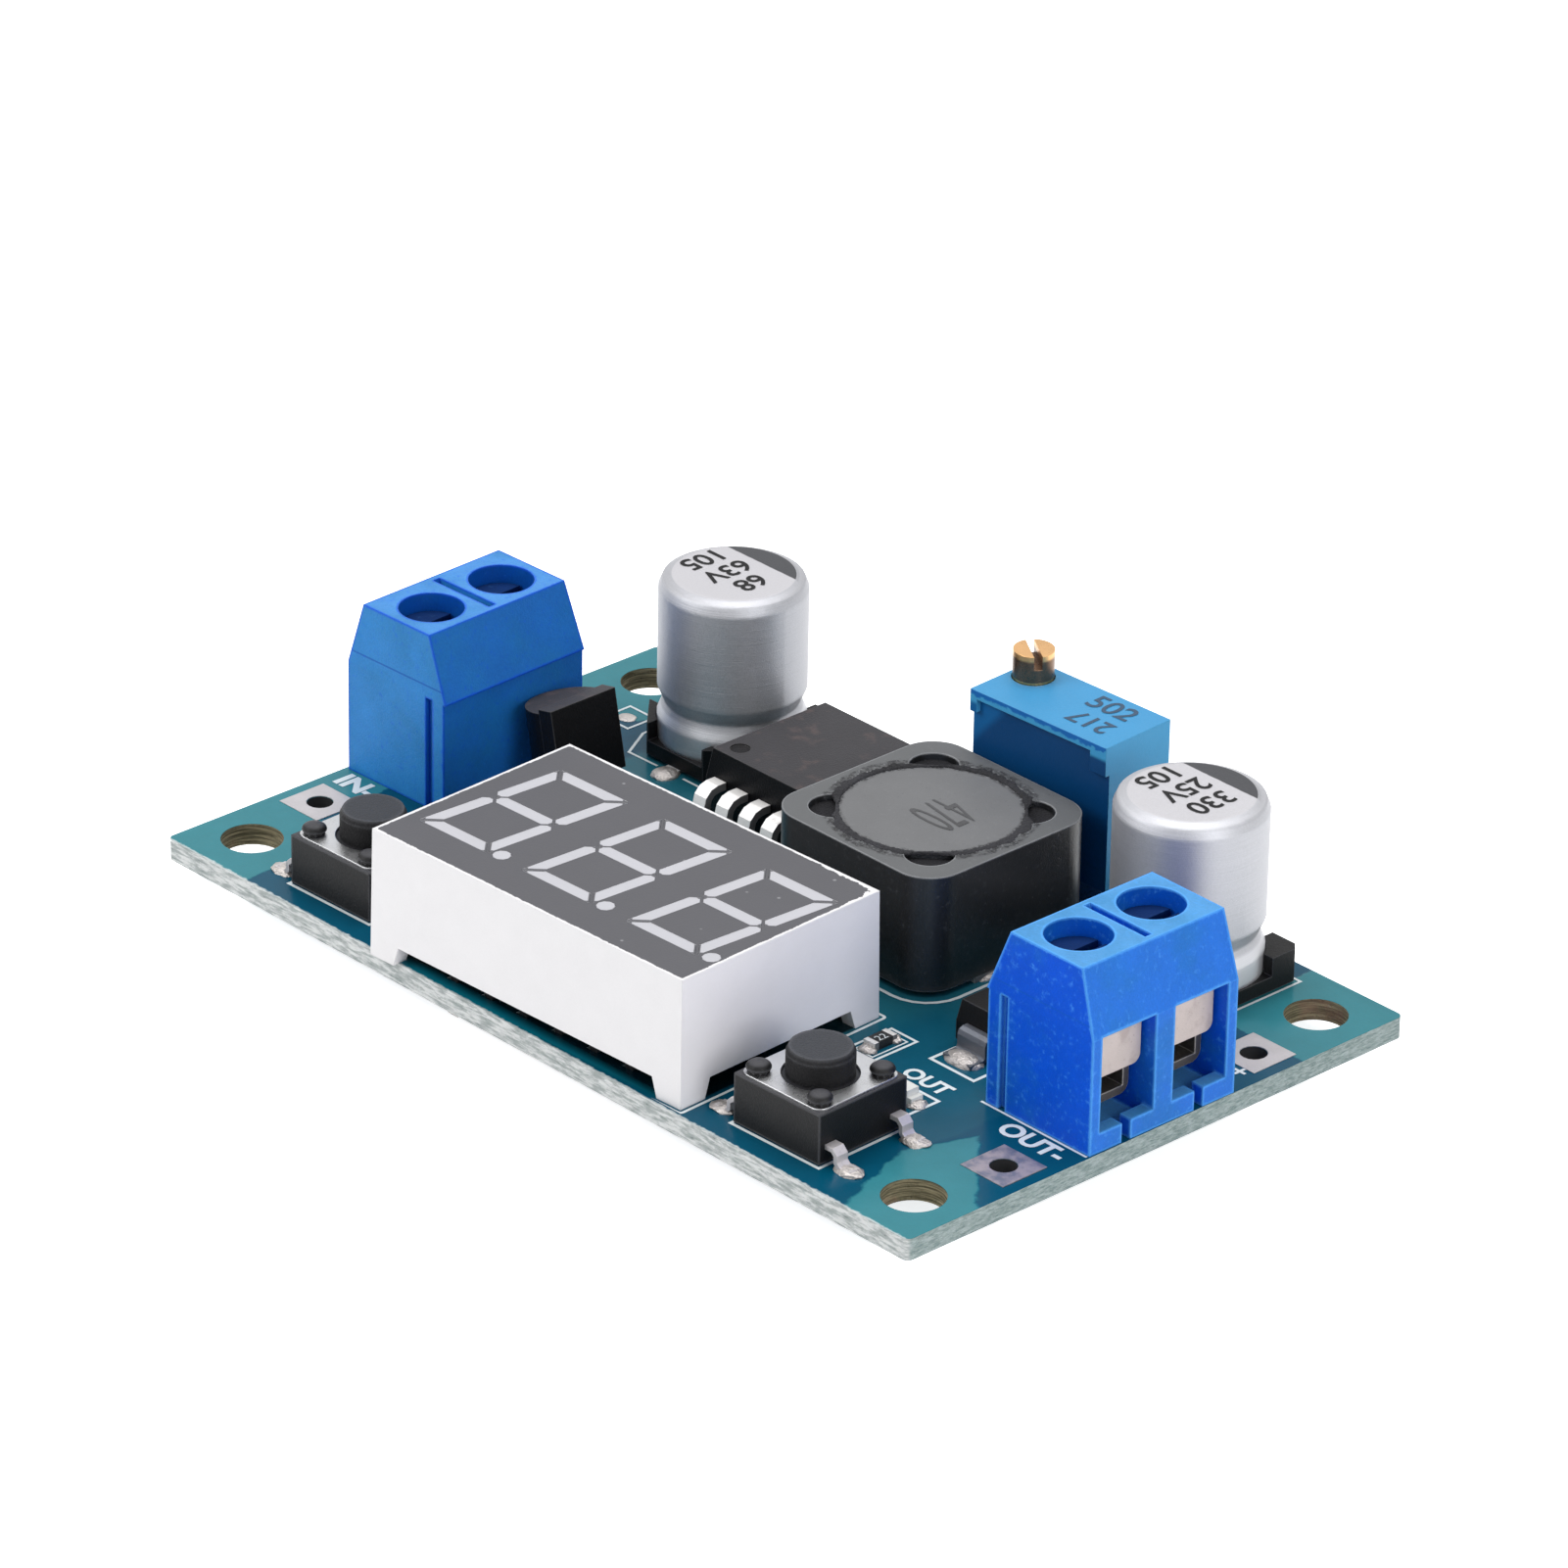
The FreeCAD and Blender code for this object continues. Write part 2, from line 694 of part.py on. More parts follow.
def make_converter_chip():
    spot = ("chip_x", "chip_y")
    plan = ("-chip_width / 2", "chip_width / 2", "-chip_depth / 2", "chip_depth / 2")
    draft = ("chip_draft", "chip_draft", "chip_draft", "chip_draft")
    upper = hood("chip_upper", plan, "chip_seam", "chip_top", draft)
    lower = hood("chip_lower", plan, "chip_lift", "chip_seam", STRAIGHT)
    dot = rod("chip_dot", "dot_width", "dot_deep * 2", "-chip_width / 2 + chip_draft + dot_inset",
              "-chip_depth / 2 + chip_draft + dot_inset", "chip_top - dot_deep")
    slug = make_heat_slug("slug_tool")
    keep("converter_chip_body", cut("chip", joined("chip_mould", [upper, lower]), [slug, dot]), *spot)
    keep("converter_chip_slug", make_heat_slug("slug"), *spot)
    keep("converter_chip_leads", shaped("chip_leads", chip_leads()), *spot)


def make_heat_slug(name):
    """The solder slug under the body, showing past its far side."""
    plate = block(name + "_plate", "slug_width", "chip_depth / 2 + slug_reach", "slug_thick",
                  "0", "(chip_depth / 2 + slug_reach) / 2", "0")

    def far_corner(edge):
        return upright(edge) and edge.CenterOfMass.y > S.chip_depth / 2
    return rounded(name, plate, S.slug_bevel, far_corner)


def chip_leads():
    face = -S.chip_depth / 2
    bend = face - S.lead_out
    low = S.lead_thick / 2
    leads = []
    for step in range(-2, 3):
        x = step * S.lead_pitch
        points = [(x, face, S.chip_seam), (x, bend, S.chip_seam), (x, bend, low), (x, bend - S.lead_foot, low)]
        leads.append(strip(points, S.lead_bend, S.lead_width, S.lead_thick, (1, 0, 0), 3))
    return Part.makeCompound(leads)


# Shielded inductor

def make_inductor():
    spot = ("coil_x", "coil_y")
    shell = block("shield_blank", "coil_side", "coil_side", "coil_top - coil_lift", z="coil_lift")
    shell = rounded("shield_outline", shell, S.coil_corner, upright)
    bore = rod("shield_bore", "coil_bore", "coil_top", z="0")
    notches = [rod("shield_notch", "notch_width", "coil_top", f"{across} * notch_place * 0.7071",
                   f"{along} * notch_place * 0.7071", "0") for across in (-1, 1) for along in (-1, 1)]
    keep("inductor_shield", cut("shield", shell, [bore] + notches), *spot)

    top = "coil_top - drum_drop - drum_disc"
    drum = joined("drum", [
        prism("drum_foot", "drum_width", "drum_disc", ROUND_SIDES, z="coil_lift"),
        prism("drum_middle", "drum_core", "coil_top - drum_drop - coil_lift", ROUND_SIDES, z="coil_lift"),
        rod("drum_head", "drum_width", "drum_disc", z=top),
    ])
    keep("inductor_drum", drum, *spot)

    floor = "coil_lift + drum_disc"
    wound = "coil_top - drum_drop - coil_lift - 2 * drum_disc"
    turns = prism("winding_outer", "drum_width - 2 * winding_gap", wound, ROUND_SIDES, z=floor)
    core = prism("winding_inner", "drum_core", wound, ROUND_SIDES, z=floor)
    keep("inductor_winding", cut("winding", turns, [core]), *spot)

    under = "coil_top - glue_drop - glue_thick"
    lobes = [prism("glue_lobe", "notch_width", "glue_thick", SMALL_SIDES, f"{across} * notch_place * 0.7071",
                 f"{along} * notch_place * 0.7071", under) for across in (-1, 1) for along in (-1, 1)]
    ring = cut("glue", joined("glue_body", [rod("glue_outer", "coil_bore", "glue_thick", z=under)] + lobes),
               [rod("glue_inner", "drum_width", "glue_thick", z=under)])
    keep("inductor_glue_ring", ring, *spot)

    feet = [block("coil_foot", "coil_foot_length", "coil_foot_width", "coil_lift",
                  f"{across} * (coil_side - coil_foot_length) / 2") for across in (-1, 1)]
    keep("inductor_feet", grouped("coil_feet", feet), *spot)


# Multi-turn trimmer, recessed long side towards -Y

def make_trimmer():
    spot = ("pot_x", "pot_y", "pot_turn")
    body = block("pot_body", "pot_length", "pot_depth", "pot_top - pot_lift", z="pot_lift")
    high = "pot_top - pot_lip - pot_lift - pot_base"
    recess = block("pot_panel", "pot_length", "pot_recess * 2", high,
                   "0", "-pot_depth / 2", "pot_lift + pot_base")
    lugs = [block("pot_lug", f"{lug}_lug_width", "pot_recess * 2", f"{lug}_lug_height",
                  f"{sign} * (pot_length - {lug}_lug_width) / 2", "-pot_depth / 2 + pot_recess",
                  f"pot_top - {lug}_lug_height") for lug, sign in (("near", 1), ("far", -1))]
    clear = "adjuster_width + 2 * adjuster_gap"
    socket = rod("pot_socket", clear, "adjuster_sunk + adjuster_gap * 2",
                 "adjuster_x", "adjuster_y", "pot_top - adjuster_sunk - adjuster_gap")
    base = block("pot_base_cut", "pot_length", "pot_depth", "pot_base", z="pot_lift")
    panelled = cut("pot_panelled", body, [recess, base])
    keep("trimmer_housing", cut("pot_housing", joined("pot_lugged", [panelled] + lugs), [socket]), *spot)

    seal = block("pot_seal", "pot_length - 2 * pot_recess", "pot_depth - 2 * pot_recess", "pot_base",
                 z="pot_lift")
    pegs = []
    for across in (-1, 1):
        for along in (-1, 1):
            x = f"{across} * (pot_length / 2 - pot_recess * 3)"
            y = f"{along} * (pot_depth / 2 - pot_recess * 3)"
            pegs.append(block("pot_peg", "pot_recess * 4", "pot_recess * 4", "pot_lift", x, y))
    keep("trimmer_base", joined("pot_base", [seal] + pegs), *spot)

    pins = [block("pot_pin_bar", "pot_pin", "pot_pin", "pot_lift + board_thick + tail_length",
                  x, y, "-(board_thick + tail_length)") for x, y in trimmer_pins()]
    keep("trimmer_pins", grouped("pot_pins", pins), *spot)

    stem = rod("adjuster_stem", "adjuster_width", "adjuster_sunk + adjuster_rise", z="pot_top - adjuster_sunk")
    slot = block("adjuster_kerf", "adjuster_width * 2", "adjuster_slot", "adjuster_slot_deep",
                 z="pot_top + adjuster_rise - adjuster_slot_deep")
    adjuster = place(cut("adjuster", stem, [slot]), "adjuster_x", "adjuster_y", "0", "adjuster_turn")
    keep("trimmer_screw", grouped("adjuster_set", [adjuster]), *spot)


# Output diode, leads along Y

def make_diode():
    spot = (DIODE_X, "diode_y")
    plan = ("-diode_width / 2", "diode_width / 2", "-diode_length / 2", "diode_length / 2")
    upper = hood("diode_upper", plan, "diode_seam", "diode_top", ("diode_draft",) * 4)
    lower = hood("diode_lower", plan, "diode_lift", "diode_seam", STRAIGHT)
    keep("diode_body", joined("diode", [upper, lower]), *spot)
    thick = S.strip_thick
    face = S.diode_length / 2
    bend = face + S.diode_out
    leads = []
    for way in (-1, 1):
        points = [(0, way * face, S.diode_seam), (0, way * bend, S.diode_seam),
                  (0, way * bend, thick / 2), (0, way * (bend + 2 * S.diode_out), thick / 2)]
        leads.append(strip(points, thick, S.diode_lead, thick, (1, 0, 0), 2))
    keep("diode_leads", shaped("diode_strips", Part.makeCompound(leads)), *spot)


# Logic regulator: a half-round body on three leads, leaning towards the terminal

def make_regulator():
    waist = "reg_flat - reg_face"
    barrel = rod("reg_barrel", "reg_width", "reg_height - reg_step", z="reg_leads")
    beyond = block("reg_face_cut", "reg_width", "reg_width", "reg_height",
                   f"{waist} + reg_width / 2", "0", "reg_leads")
    front = block("reg_front", "reg_face", "reg_width", "reg_height",
                  "reg_flat - reg_face / 2", "0", "reg_leads")
    body = joined("reg", [cut("reg_back", barrel, [beyond]), front])
    keep("regulator_body", body, REGULATOR_X, "reg_y", "reg_lean", (0, 1, 0))
    lean = math.radians(S.reg_lean)
    pin = S.reg_pin
    leads = []
    for step in (-1, 0, 1):
        y = step * S.reg_pitch
        points = [(0, y, -(S.board_thick + S.tail_length)), (0, y, pin),
                  (S.reg_leads * math.sin(lean), y, S.reg_leads * math.cos(lean))]
        leads.append(strip(points, pin, pin, pin, (0, 1, 0)))
    keep("regulator_leads", shaped("reg_leads_bent", Part.makeCompound(leads)), REGULATOR_X, "reg_y")


# Push switches

def rivet_rods(name, width, high):
    """Four rods at the corners of a switch, from the underside of its cover up."""
    corners = [(f"{across} * rivet_place", f"{along} * rivet_place") for across in (-1, 1) for along in (-1, 1)]
    return [prism(name, width, high, SMALL_SIDES, x, y, "switch_top") for x, y in corners]


def make_switch(side, way):
    spot = (f"{way} * switch_x", "switch_y", "switch_turn")
    floor = "switch_top - well_depth"
    base = block("switch_block", "switch_side", "switch_side", "switch_top - switch_lift", z="switch_lift")
    well = rod("switch_well", "flange_width + 2 * switch_well_gap", "well_depth", z=floor)
    base = cut("switch_welled", base, [well])
    rivets = rivet_rods("switch_rivet", "rivet_width", "cover_thick + rivet_rise")
    keep(f"{side}_switch_base", joined(f"{side}_base_moulding", [base] + rivets), *spot)

    sheet_metal = block("cover_plate", "cover_side", "cover_side", "cover_thick", z="switch_top")
    sheet_metal = rounded("cover_round", sheet_metal, S.cover_corner, upright)
    holes = [rod("cover_hole_cut", "cover_hole", "cover_thick", z="switch_top")]
    holes += rivet_rods("cover_rivet_cut", "rivet_width + 2 * rivet_gap", "cover_thick")
    keep(f"{side}_switch_cover", cut(f"{side}_cover", sheet_metal, holes), *spot)

    stem_low = "switch_top - flange_gap - flange_thick"
    flange = prism("plunger_flange", "flange_width", "flange_thick", ROUND_SIDES, z=stem_low)
    stem = turned(f"{side}_stem", [
        ("plunger_width", stem_low),
        ("plunger_width", "plunger_top - plunger_edge"),
        ("plunger_width - plunger_edge", "plunger_top"),
    ])
    keep(f"{side}_switch_plunger", joined(f"{side}_plunger", [flange, stem]), *spot)

    rise = f"{stem_low} - ({floor})"
    dome = joined(f"{side}_dome", [
        prism("dome_rim", "dome_width", f"({rise}) / 2", ROUND_SIDES, z=floor),
        prism("dome_crown", "dome_width / 2", rise, ROUND_SIDES, z=floor),
    ])
    keep(f"{side}_switch_dome", dome, *spot)

    thick = S.leg_thick
    face = S.switch_side / 2
    bend = face + S.leg_out
    legs = []
    for across in (-1, 1):
        for along in (-1, 1):
            y = along * S.leg_pitch / 2
            points = [(across * face, y, S.leg_exit), (across * bend, y, S.leg_exit),
                      (across * bend, y, thick / 2), (across * (bend + S.leg_foot), y, thick / 2)]
            legs.append(strip(points, thick, S.leg_width, thick, (0, 1, 0)))
    keep(f"{side}_switch_legs", shaped(f"{side}_legs", Part.makeCompound(legs)), *spot)


# Three-digit display

def bar_outlines(grow):
    """The seven slanted bars of one digit as outlines with mitred ends, grown by a margin."""
    half_x = S.digit_width_share * S.display_length / 2
    half_y = S.digit_height_share * S.display_width / 2
    stroke = S.bar_width / 2 + grow
    space = S.bar_space - grow
    outer, inner = half_x + stroke - space, half_x - stroke - space
    bars = []
    for way in (-1, 1):
        bars.append([(-outer, way * (half_y + stroke)), (outer, way * (half_y + stroke)),
                     (inner, way * (half_y - stroke)), (-inner, way * (half_y - stroke))])
        for across in (-1, 1):
            bars.append([(across * half_x, way * space), (across * (half_x + stroke), way * (space + stroke)),
                         (across * (half_x + stroke), way * (half_y + stroke - space)),
                         (across * (half_x - stroke), way * (half_y - stroke - space)),
                         (across * (half_x - stroke), way * (space + stroke))])
    tip, flank = half_x - space, half_x - space - stroke
    bars.append([(-tip, 0), (-flank, stroke), (flank, stroke), (tip, 0), (flank, -stroke), (-flank, -stroke)])
    return [[(x + S.digit_slant * y, y) for x, y in bar] for bar in bars]


def digit_prisms(low, high, grow):
    """Every bar and point of the three digits as upright prisms."""
    half_x = S.digit_width_share * S.display_length / 2
    half_y = S.digit_height_share * S.display_width / 2
    radius = S.point_width / 2 + grow
    dot = [(half_x + S.point_gap + radius * math.cos(turn), -half_y + radius * math.sin(turn))
           for turn in (math.radians(360 / SMALL_SIDES * step) for step in range(SMALL_SIDES))]
    prisms = []
    for digit in (-1, 0, 1):
        x0 = digit * S.display_length / 3 + S.digit_shift
        for outline in bar_outlines(grow) + [dot]:
            corners = [FreeCAD.Vector(x0 + x, y, low) for x, y in outline]
            face = Part.Face(Part.makePolygon(corners + corners[:1]))
            prisms.append(face.extrude(FreeCAD.Vector(0, 0, high - low)))
    return Part.makeCompound(prisms)


def make_display():
    spot = ("display_x", "display_y", "display_turn")
    plan = ("-display_length / 2", "display_length / 2", "-display_width / 2", "display_width / 2")
    shell = hood("display_shell", plan, "0", "display_top",
                 ("display_draft", "display_draft", "display_draft", "display_draft"))
    cavity = block("display_cavity", "display_length - 2 * display_wall", "display_width - 2 * display_wall",
                   "display_top - display_face", z="0")
    arch_x = ("-display_length / 2 + foot_long", "display_length / 2 - foot_long",
              "-display_width", "display_width")
    arch_y = ("-display_length", "display_length",
              "-display_width / 2 + foot_long", "display_width / 2 - foot_long")
    under = [
        hood("arch_long", arch_x, "0", "foot_height", ("foot_slope", "foot_slope", "0", "0")),
        hood("arch_short", arch_y, "0", "foot_height", ("0", "0", "foot_slope", "foot_slope")),
    ]
    windows = digit_prisms(S.carrier_lift + S.carrier_thick, S.display_top, S.window_gap)
    windows = shaped("display_windows", windows)
    hollow = cut("display_hollow", shell, [cavity] + under)
    housing = doc.addObject("Part::Cut", "display_housing_cut")
    housing.Base = hollow
    housing.Tool = windows
    keep("display_housing", housing, *spot)

    segments = digit_prisms(S.carrier_lift + S.carrier_thick, S.display_top, 0.0)
    keep("display_segments", shaped("segments", segments), *spot)
    inner = "display_wall + carrier_gap"
    board = block("carrier_board", f"display_length - 2 * ({inner})", f"display_width - 2 * ({inner})",
                  "carrier_thick", z="carrier_lift")
    hole = "display_pin + 2 * tail_gap"
    drills = []
    pins = []
    high = "carrier_lift + carrier_thick + board_thick + short_tail"
    low = "-(board_thick + short_tail)"
    for x, y in display_pins():
        drills.append(block("carrier_drill", hole, hole, "carrier_thick", x, y, "carrier_lift"))
        pins.append(block("display_pin_bar", "display_pin", "display_pin", high, x, y, low))
    keep("display_carrier_board", cut("carrier", board, [grouped("carrier_drills", drills)]), *spot)
    keep("display_pins", grouped("display_pin_rows", pins), *spot)


# Display controller under the display, and the small chip parts

def make_controller():
    spot = ("display_x", "display_y", "0")
    body = block("logic_block", "logic_length", "logic_width", "logic_top - logic_lift", z="logic_lift")
    keep("controller_chip_body", grouped("logic_set", [body]), *spot)
    pins = []
    for step in range(-5, 5):
        for side in (-1, 1):
            x = f"{step + 0.5} * logic_pitch"
            y = f"{side} * (logic_width + logic_pin_out) / 2"
            pins.append(block("logic_pin_bar", "logic_pin", "logic_pin_out", "logic_pin_thick", x, y))
    keep("controller_chip_leads", grouped("logic_pins", pins), *spot)


HIDDEN = [("hidden_gap", f"{step} * hidden_pitch") for step in (-1, 0, 1)]
SENSE = [("display_length / 2 + sense_gap", "sense_y")]


def chip_parts(name, spots, high, gap, length, width):
    """A row of boxes, each lying along Y, centred gap away from each spot."""
    return [block(name, width, length, high, x, f"{y} + {gap}") for x, y in spots]


def make_chip_parts():
    middle = "chip_part_length - 2 * chip_end"
    reach = "(chip_part_length - chip_end) / 2"
    rows = {
        "resistor": (SENSE + HIDDEN, "chip_part_thick"),
        "capacitor": ([(f"-{x}", y) for x, y in HIDDEN], "chip_cap_thick"),
    }
    ends = []
    for name, (spots, high) in rows.items():
        bodies = chip_parts(name, spots, high, "0", middle, "chip_part_width")
        keep(f"chip_{name}_bodies", grouped(name + "s", bodies), "display_x", "display_y", "display_turn")
        for side in (-1, 1):
            ends += chip_parts(name + "_end", spots, high, f"{side} * {reach}", "chip_end", "chip_part_width")
    keep("chip_part_ends", grouped("ends", ends), "display_x", "display_y", "display_turn")
    lamp = block("lamp", middle, "chip_part_width", "chip_cap_thick")
    caps = [block("lamp_end", "chip_end", "chip_part_width", "chip_part_thick", f"{side} * {reach}")
            for side in (-1, 1)]
    keep("indicator_lamp", grouped("lamp_set", [lamp] + caps), "lamp_x", "lamp_y")


make_board()
make_wire_pads()
make_underside_solder()
for terminal_side in ("input", "output"):
    make_terminal(terminal_side)
for capacitor_side in ("input", "output"):
    make_capacitor(capacitor_side)
make_converter_chip()
make_inductor()
make_trimmer()
make_diode()
make_regulator()
make_switch("left", -1)
make_switch("right", 1)
make_display()
make_controller()
make_chip_parts()
doc.recompute()

for item in doc.Objects:
    if "Invalid" in item.State or "Error" in item.State:
        raise RuntimeError(f"{item.Label} failed: {item.State}")
for item in PIECES:
    if item.Shape.isNull() or not item.Shape.isValid():
        raise RuntimeError(f"{item.Label} has no sound shape")
os.makedirs("parts", exist_ok=True)
for item in PIECES:
    item.Shape.exportStep(f"parts/{item.Label}.step")
print(len(PIECES), "sub-parts written")
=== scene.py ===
"""Looks of an adjustable buck converter module.

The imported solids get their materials, and printed lines, labels, solder and small surface
details are added to them. The frame is the part's own, in metres. Numbers in this file are in
millimetres, colours are screen levels from 0 to 255, and heights are from the board's underside.
"""

import math
import random

import bmesh
import bpy
from mathutils import Matrix, Vector, noise


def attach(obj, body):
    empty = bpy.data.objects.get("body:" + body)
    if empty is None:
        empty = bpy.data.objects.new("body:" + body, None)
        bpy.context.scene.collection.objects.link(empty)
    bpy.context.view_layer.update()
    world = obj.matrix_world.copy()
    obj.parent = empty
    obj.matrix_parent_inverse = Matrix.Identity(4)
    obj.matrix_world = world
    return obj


MM = 0.001
BOARD_TOP = 1.2
BOARD_EDGE = 17.25  # the long edges, from the board's middle
PRINT_EDGE = 17.05  # printed lines stop short of the long edges
HOLE_PLACE, HOLE_RADIUS = (25.0, 14.0), 1.9  # mounting holes, with a margin for the colour
BORE_PLACE, BORE_RADIUS = (25.8, 8.7), 1.0  # wire holes
SENSE_PLACE = (12.92, -4.75)  # the chip resistor that carries a number
LINE_RISE, LETTER_RISE = 0.02, 0.025  # how far print stands above the face under it

CHIP_DOT, CHIP_DOT_RADIUS = (-9.6, 6.3), 0.55
CAN_BEAD = 3.95  # height of the rolled bead near the foot of both cans
WELL_PLACE, WELL_RADIUS = 2.5, 1.78  # screw wells, from the middle of a terminal
WELL_RIM, TERMINAL_SEAM = 9.5, 8.3
TRIMMER_TOP, DISPLAY_TOP = 11.2, 8.4
SHANK_LOW, SHANK_HIGH = 11.3, 12.5  # the dark part of the adjusting screw
DISPLAY_HALF = (11.2, 6.95)
FACE_HALF = (11.0, 6.75)  # the dark print inside the display's pale rim
DIGIT_PITCH, DIGIT_SHIFT, DIGIT_SLANT = 7.5, 0.2, 0.1
DIGIT_HALF = (2.1375, 4.165)  # from a digit's middle to the middles of its outer segments

# Heights above the board, and places about a component
PEG_PLACE, PEG_RADIUS, PEG_SQUASH, PEG_TOP = 2.15, 0.66, 0.55, 3.23
DRUM_TOP, CRUST_FOOT, SENSE_TOP = 6.75, 6.78, 0.45
INPUT_CAN_TOP, OUTPUT_CAN_TOP = 10.3, 10.6
CRUST_INNER, CRUST_OUTER, CRUST_NOTCH = 4.74, 5.3, 4.93  # radii; the last is at the notches
CRUST_RISE = 0.06

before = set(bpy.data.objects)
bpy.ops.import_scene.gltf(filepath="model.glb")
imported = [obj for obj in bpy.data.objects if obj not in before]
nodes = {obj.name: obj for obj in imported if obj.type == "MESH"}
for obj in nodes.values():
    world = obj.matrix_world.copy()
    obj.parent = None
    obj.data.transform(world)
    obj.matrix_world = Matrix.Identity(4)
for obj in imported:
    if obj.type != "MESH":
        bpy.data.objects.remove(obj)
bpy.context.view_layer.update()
random.seed(7)


def ink(red, green, blue):
    """A screen colour, 0 to 255, as the shader's linear colour."""
    parts = [level / 255 for level in (red, green, blue)]
    linear = [p / 12.92 if p <= 0.04045 else ((p + 0.055) / 1.055) ** 2.4 for p in parts]
    return (*linear, 1.0)


class Seat:
    """Where a component sits on the board: its middle and its turn in degrees."""

    def __init__(self, x, y, turn=0.0):
        self.x, self.y = x, y
        self.cos, self.sin = math.cos(math.radians(turn)), math.sin(math.radians(turn))

    def out(self, u, v, z):
        """A point given about the component, z above the board, on the whole part."""
        x = self.x + u * self.cos - v * self.sin
        y = self.y + u * self.sin + v * self.cos
        return Vector((x, y, BOARD_TOP + z)) * MM


BOARD = Seat(0, 0)
INPUT = Seat(-24.2, 0.1, 181.9)
OUTPUT = Seat(24.2, 0.1, -0.35)
INPUT_CAP = Seat(-16.3, 11.9)
OUTPUT_CAP = Seat(17.9, 11.75)
CHIP = Seat(-6.35, 9.3)
COIL = Seat(5.3, 5.8)
TRIMMER = Seat(5.9, 14.95, 2.5)
DIODE = Seat(16.8, 0.6)
LEFT_SWITCH = Seat(-16.85, -12.65, 1.4)
RIGHT_SWITCH = Seat(16.85, -12.65, 1.4)
DISPLAY = Seat(-0.26, -10.25, 2.2)
SWITCHES = (LEFT_SWITCH, RIGHT_SWITCH)
CAPS = (INPUT_CAP, OUTPUT_CAP)
SIDES = (-1, 1)


# Shader maths


class Term:
    """A value inside one material, with ordinary arithmetic."""

    def __init__(self, look, socket):
        self.look, self.socket = look, socket

    def math(self, operation, *others):
        inputs = dict(enumerate((self, *others)))
        return self.look.node("ShaderNodeMath", inputs, operation=operation)

    def __add__(self, other):
        return self.math("ADD", other)

    def __sub__(self, other):
        return self.math("SUBTRACT", other)

    def __rsub__(self, other):
        return (self * -1.0) + other

    def __mul__(self, other):
        return self.math("MULTIPLY", other)

    def size(self):
        return self.math("ABSOLUTE")

    def least(self, other):
        return self.math("MINIMUM", other)

    def most(self, other):
        return self.math("MAXIMUM", other)

    def squared(self):
        return self * self

    def reach(self, other):
        """The length of the vector with these two parts."""
        return (self.squared() + other.squared()).math("SQRT")

    def rise(self, low, high):
        """0 below low, 1 above high, smooth between. Swapping them turns it round."""
        if low > high:
            return 1.0 - self.rise(high, low)
        inputs = {"Value": self, "From Min": low, "From Max": high}
        return self.look.node("ShaderNodeMapRange", inputs, interpolation_type="SMOOTHSTEP")


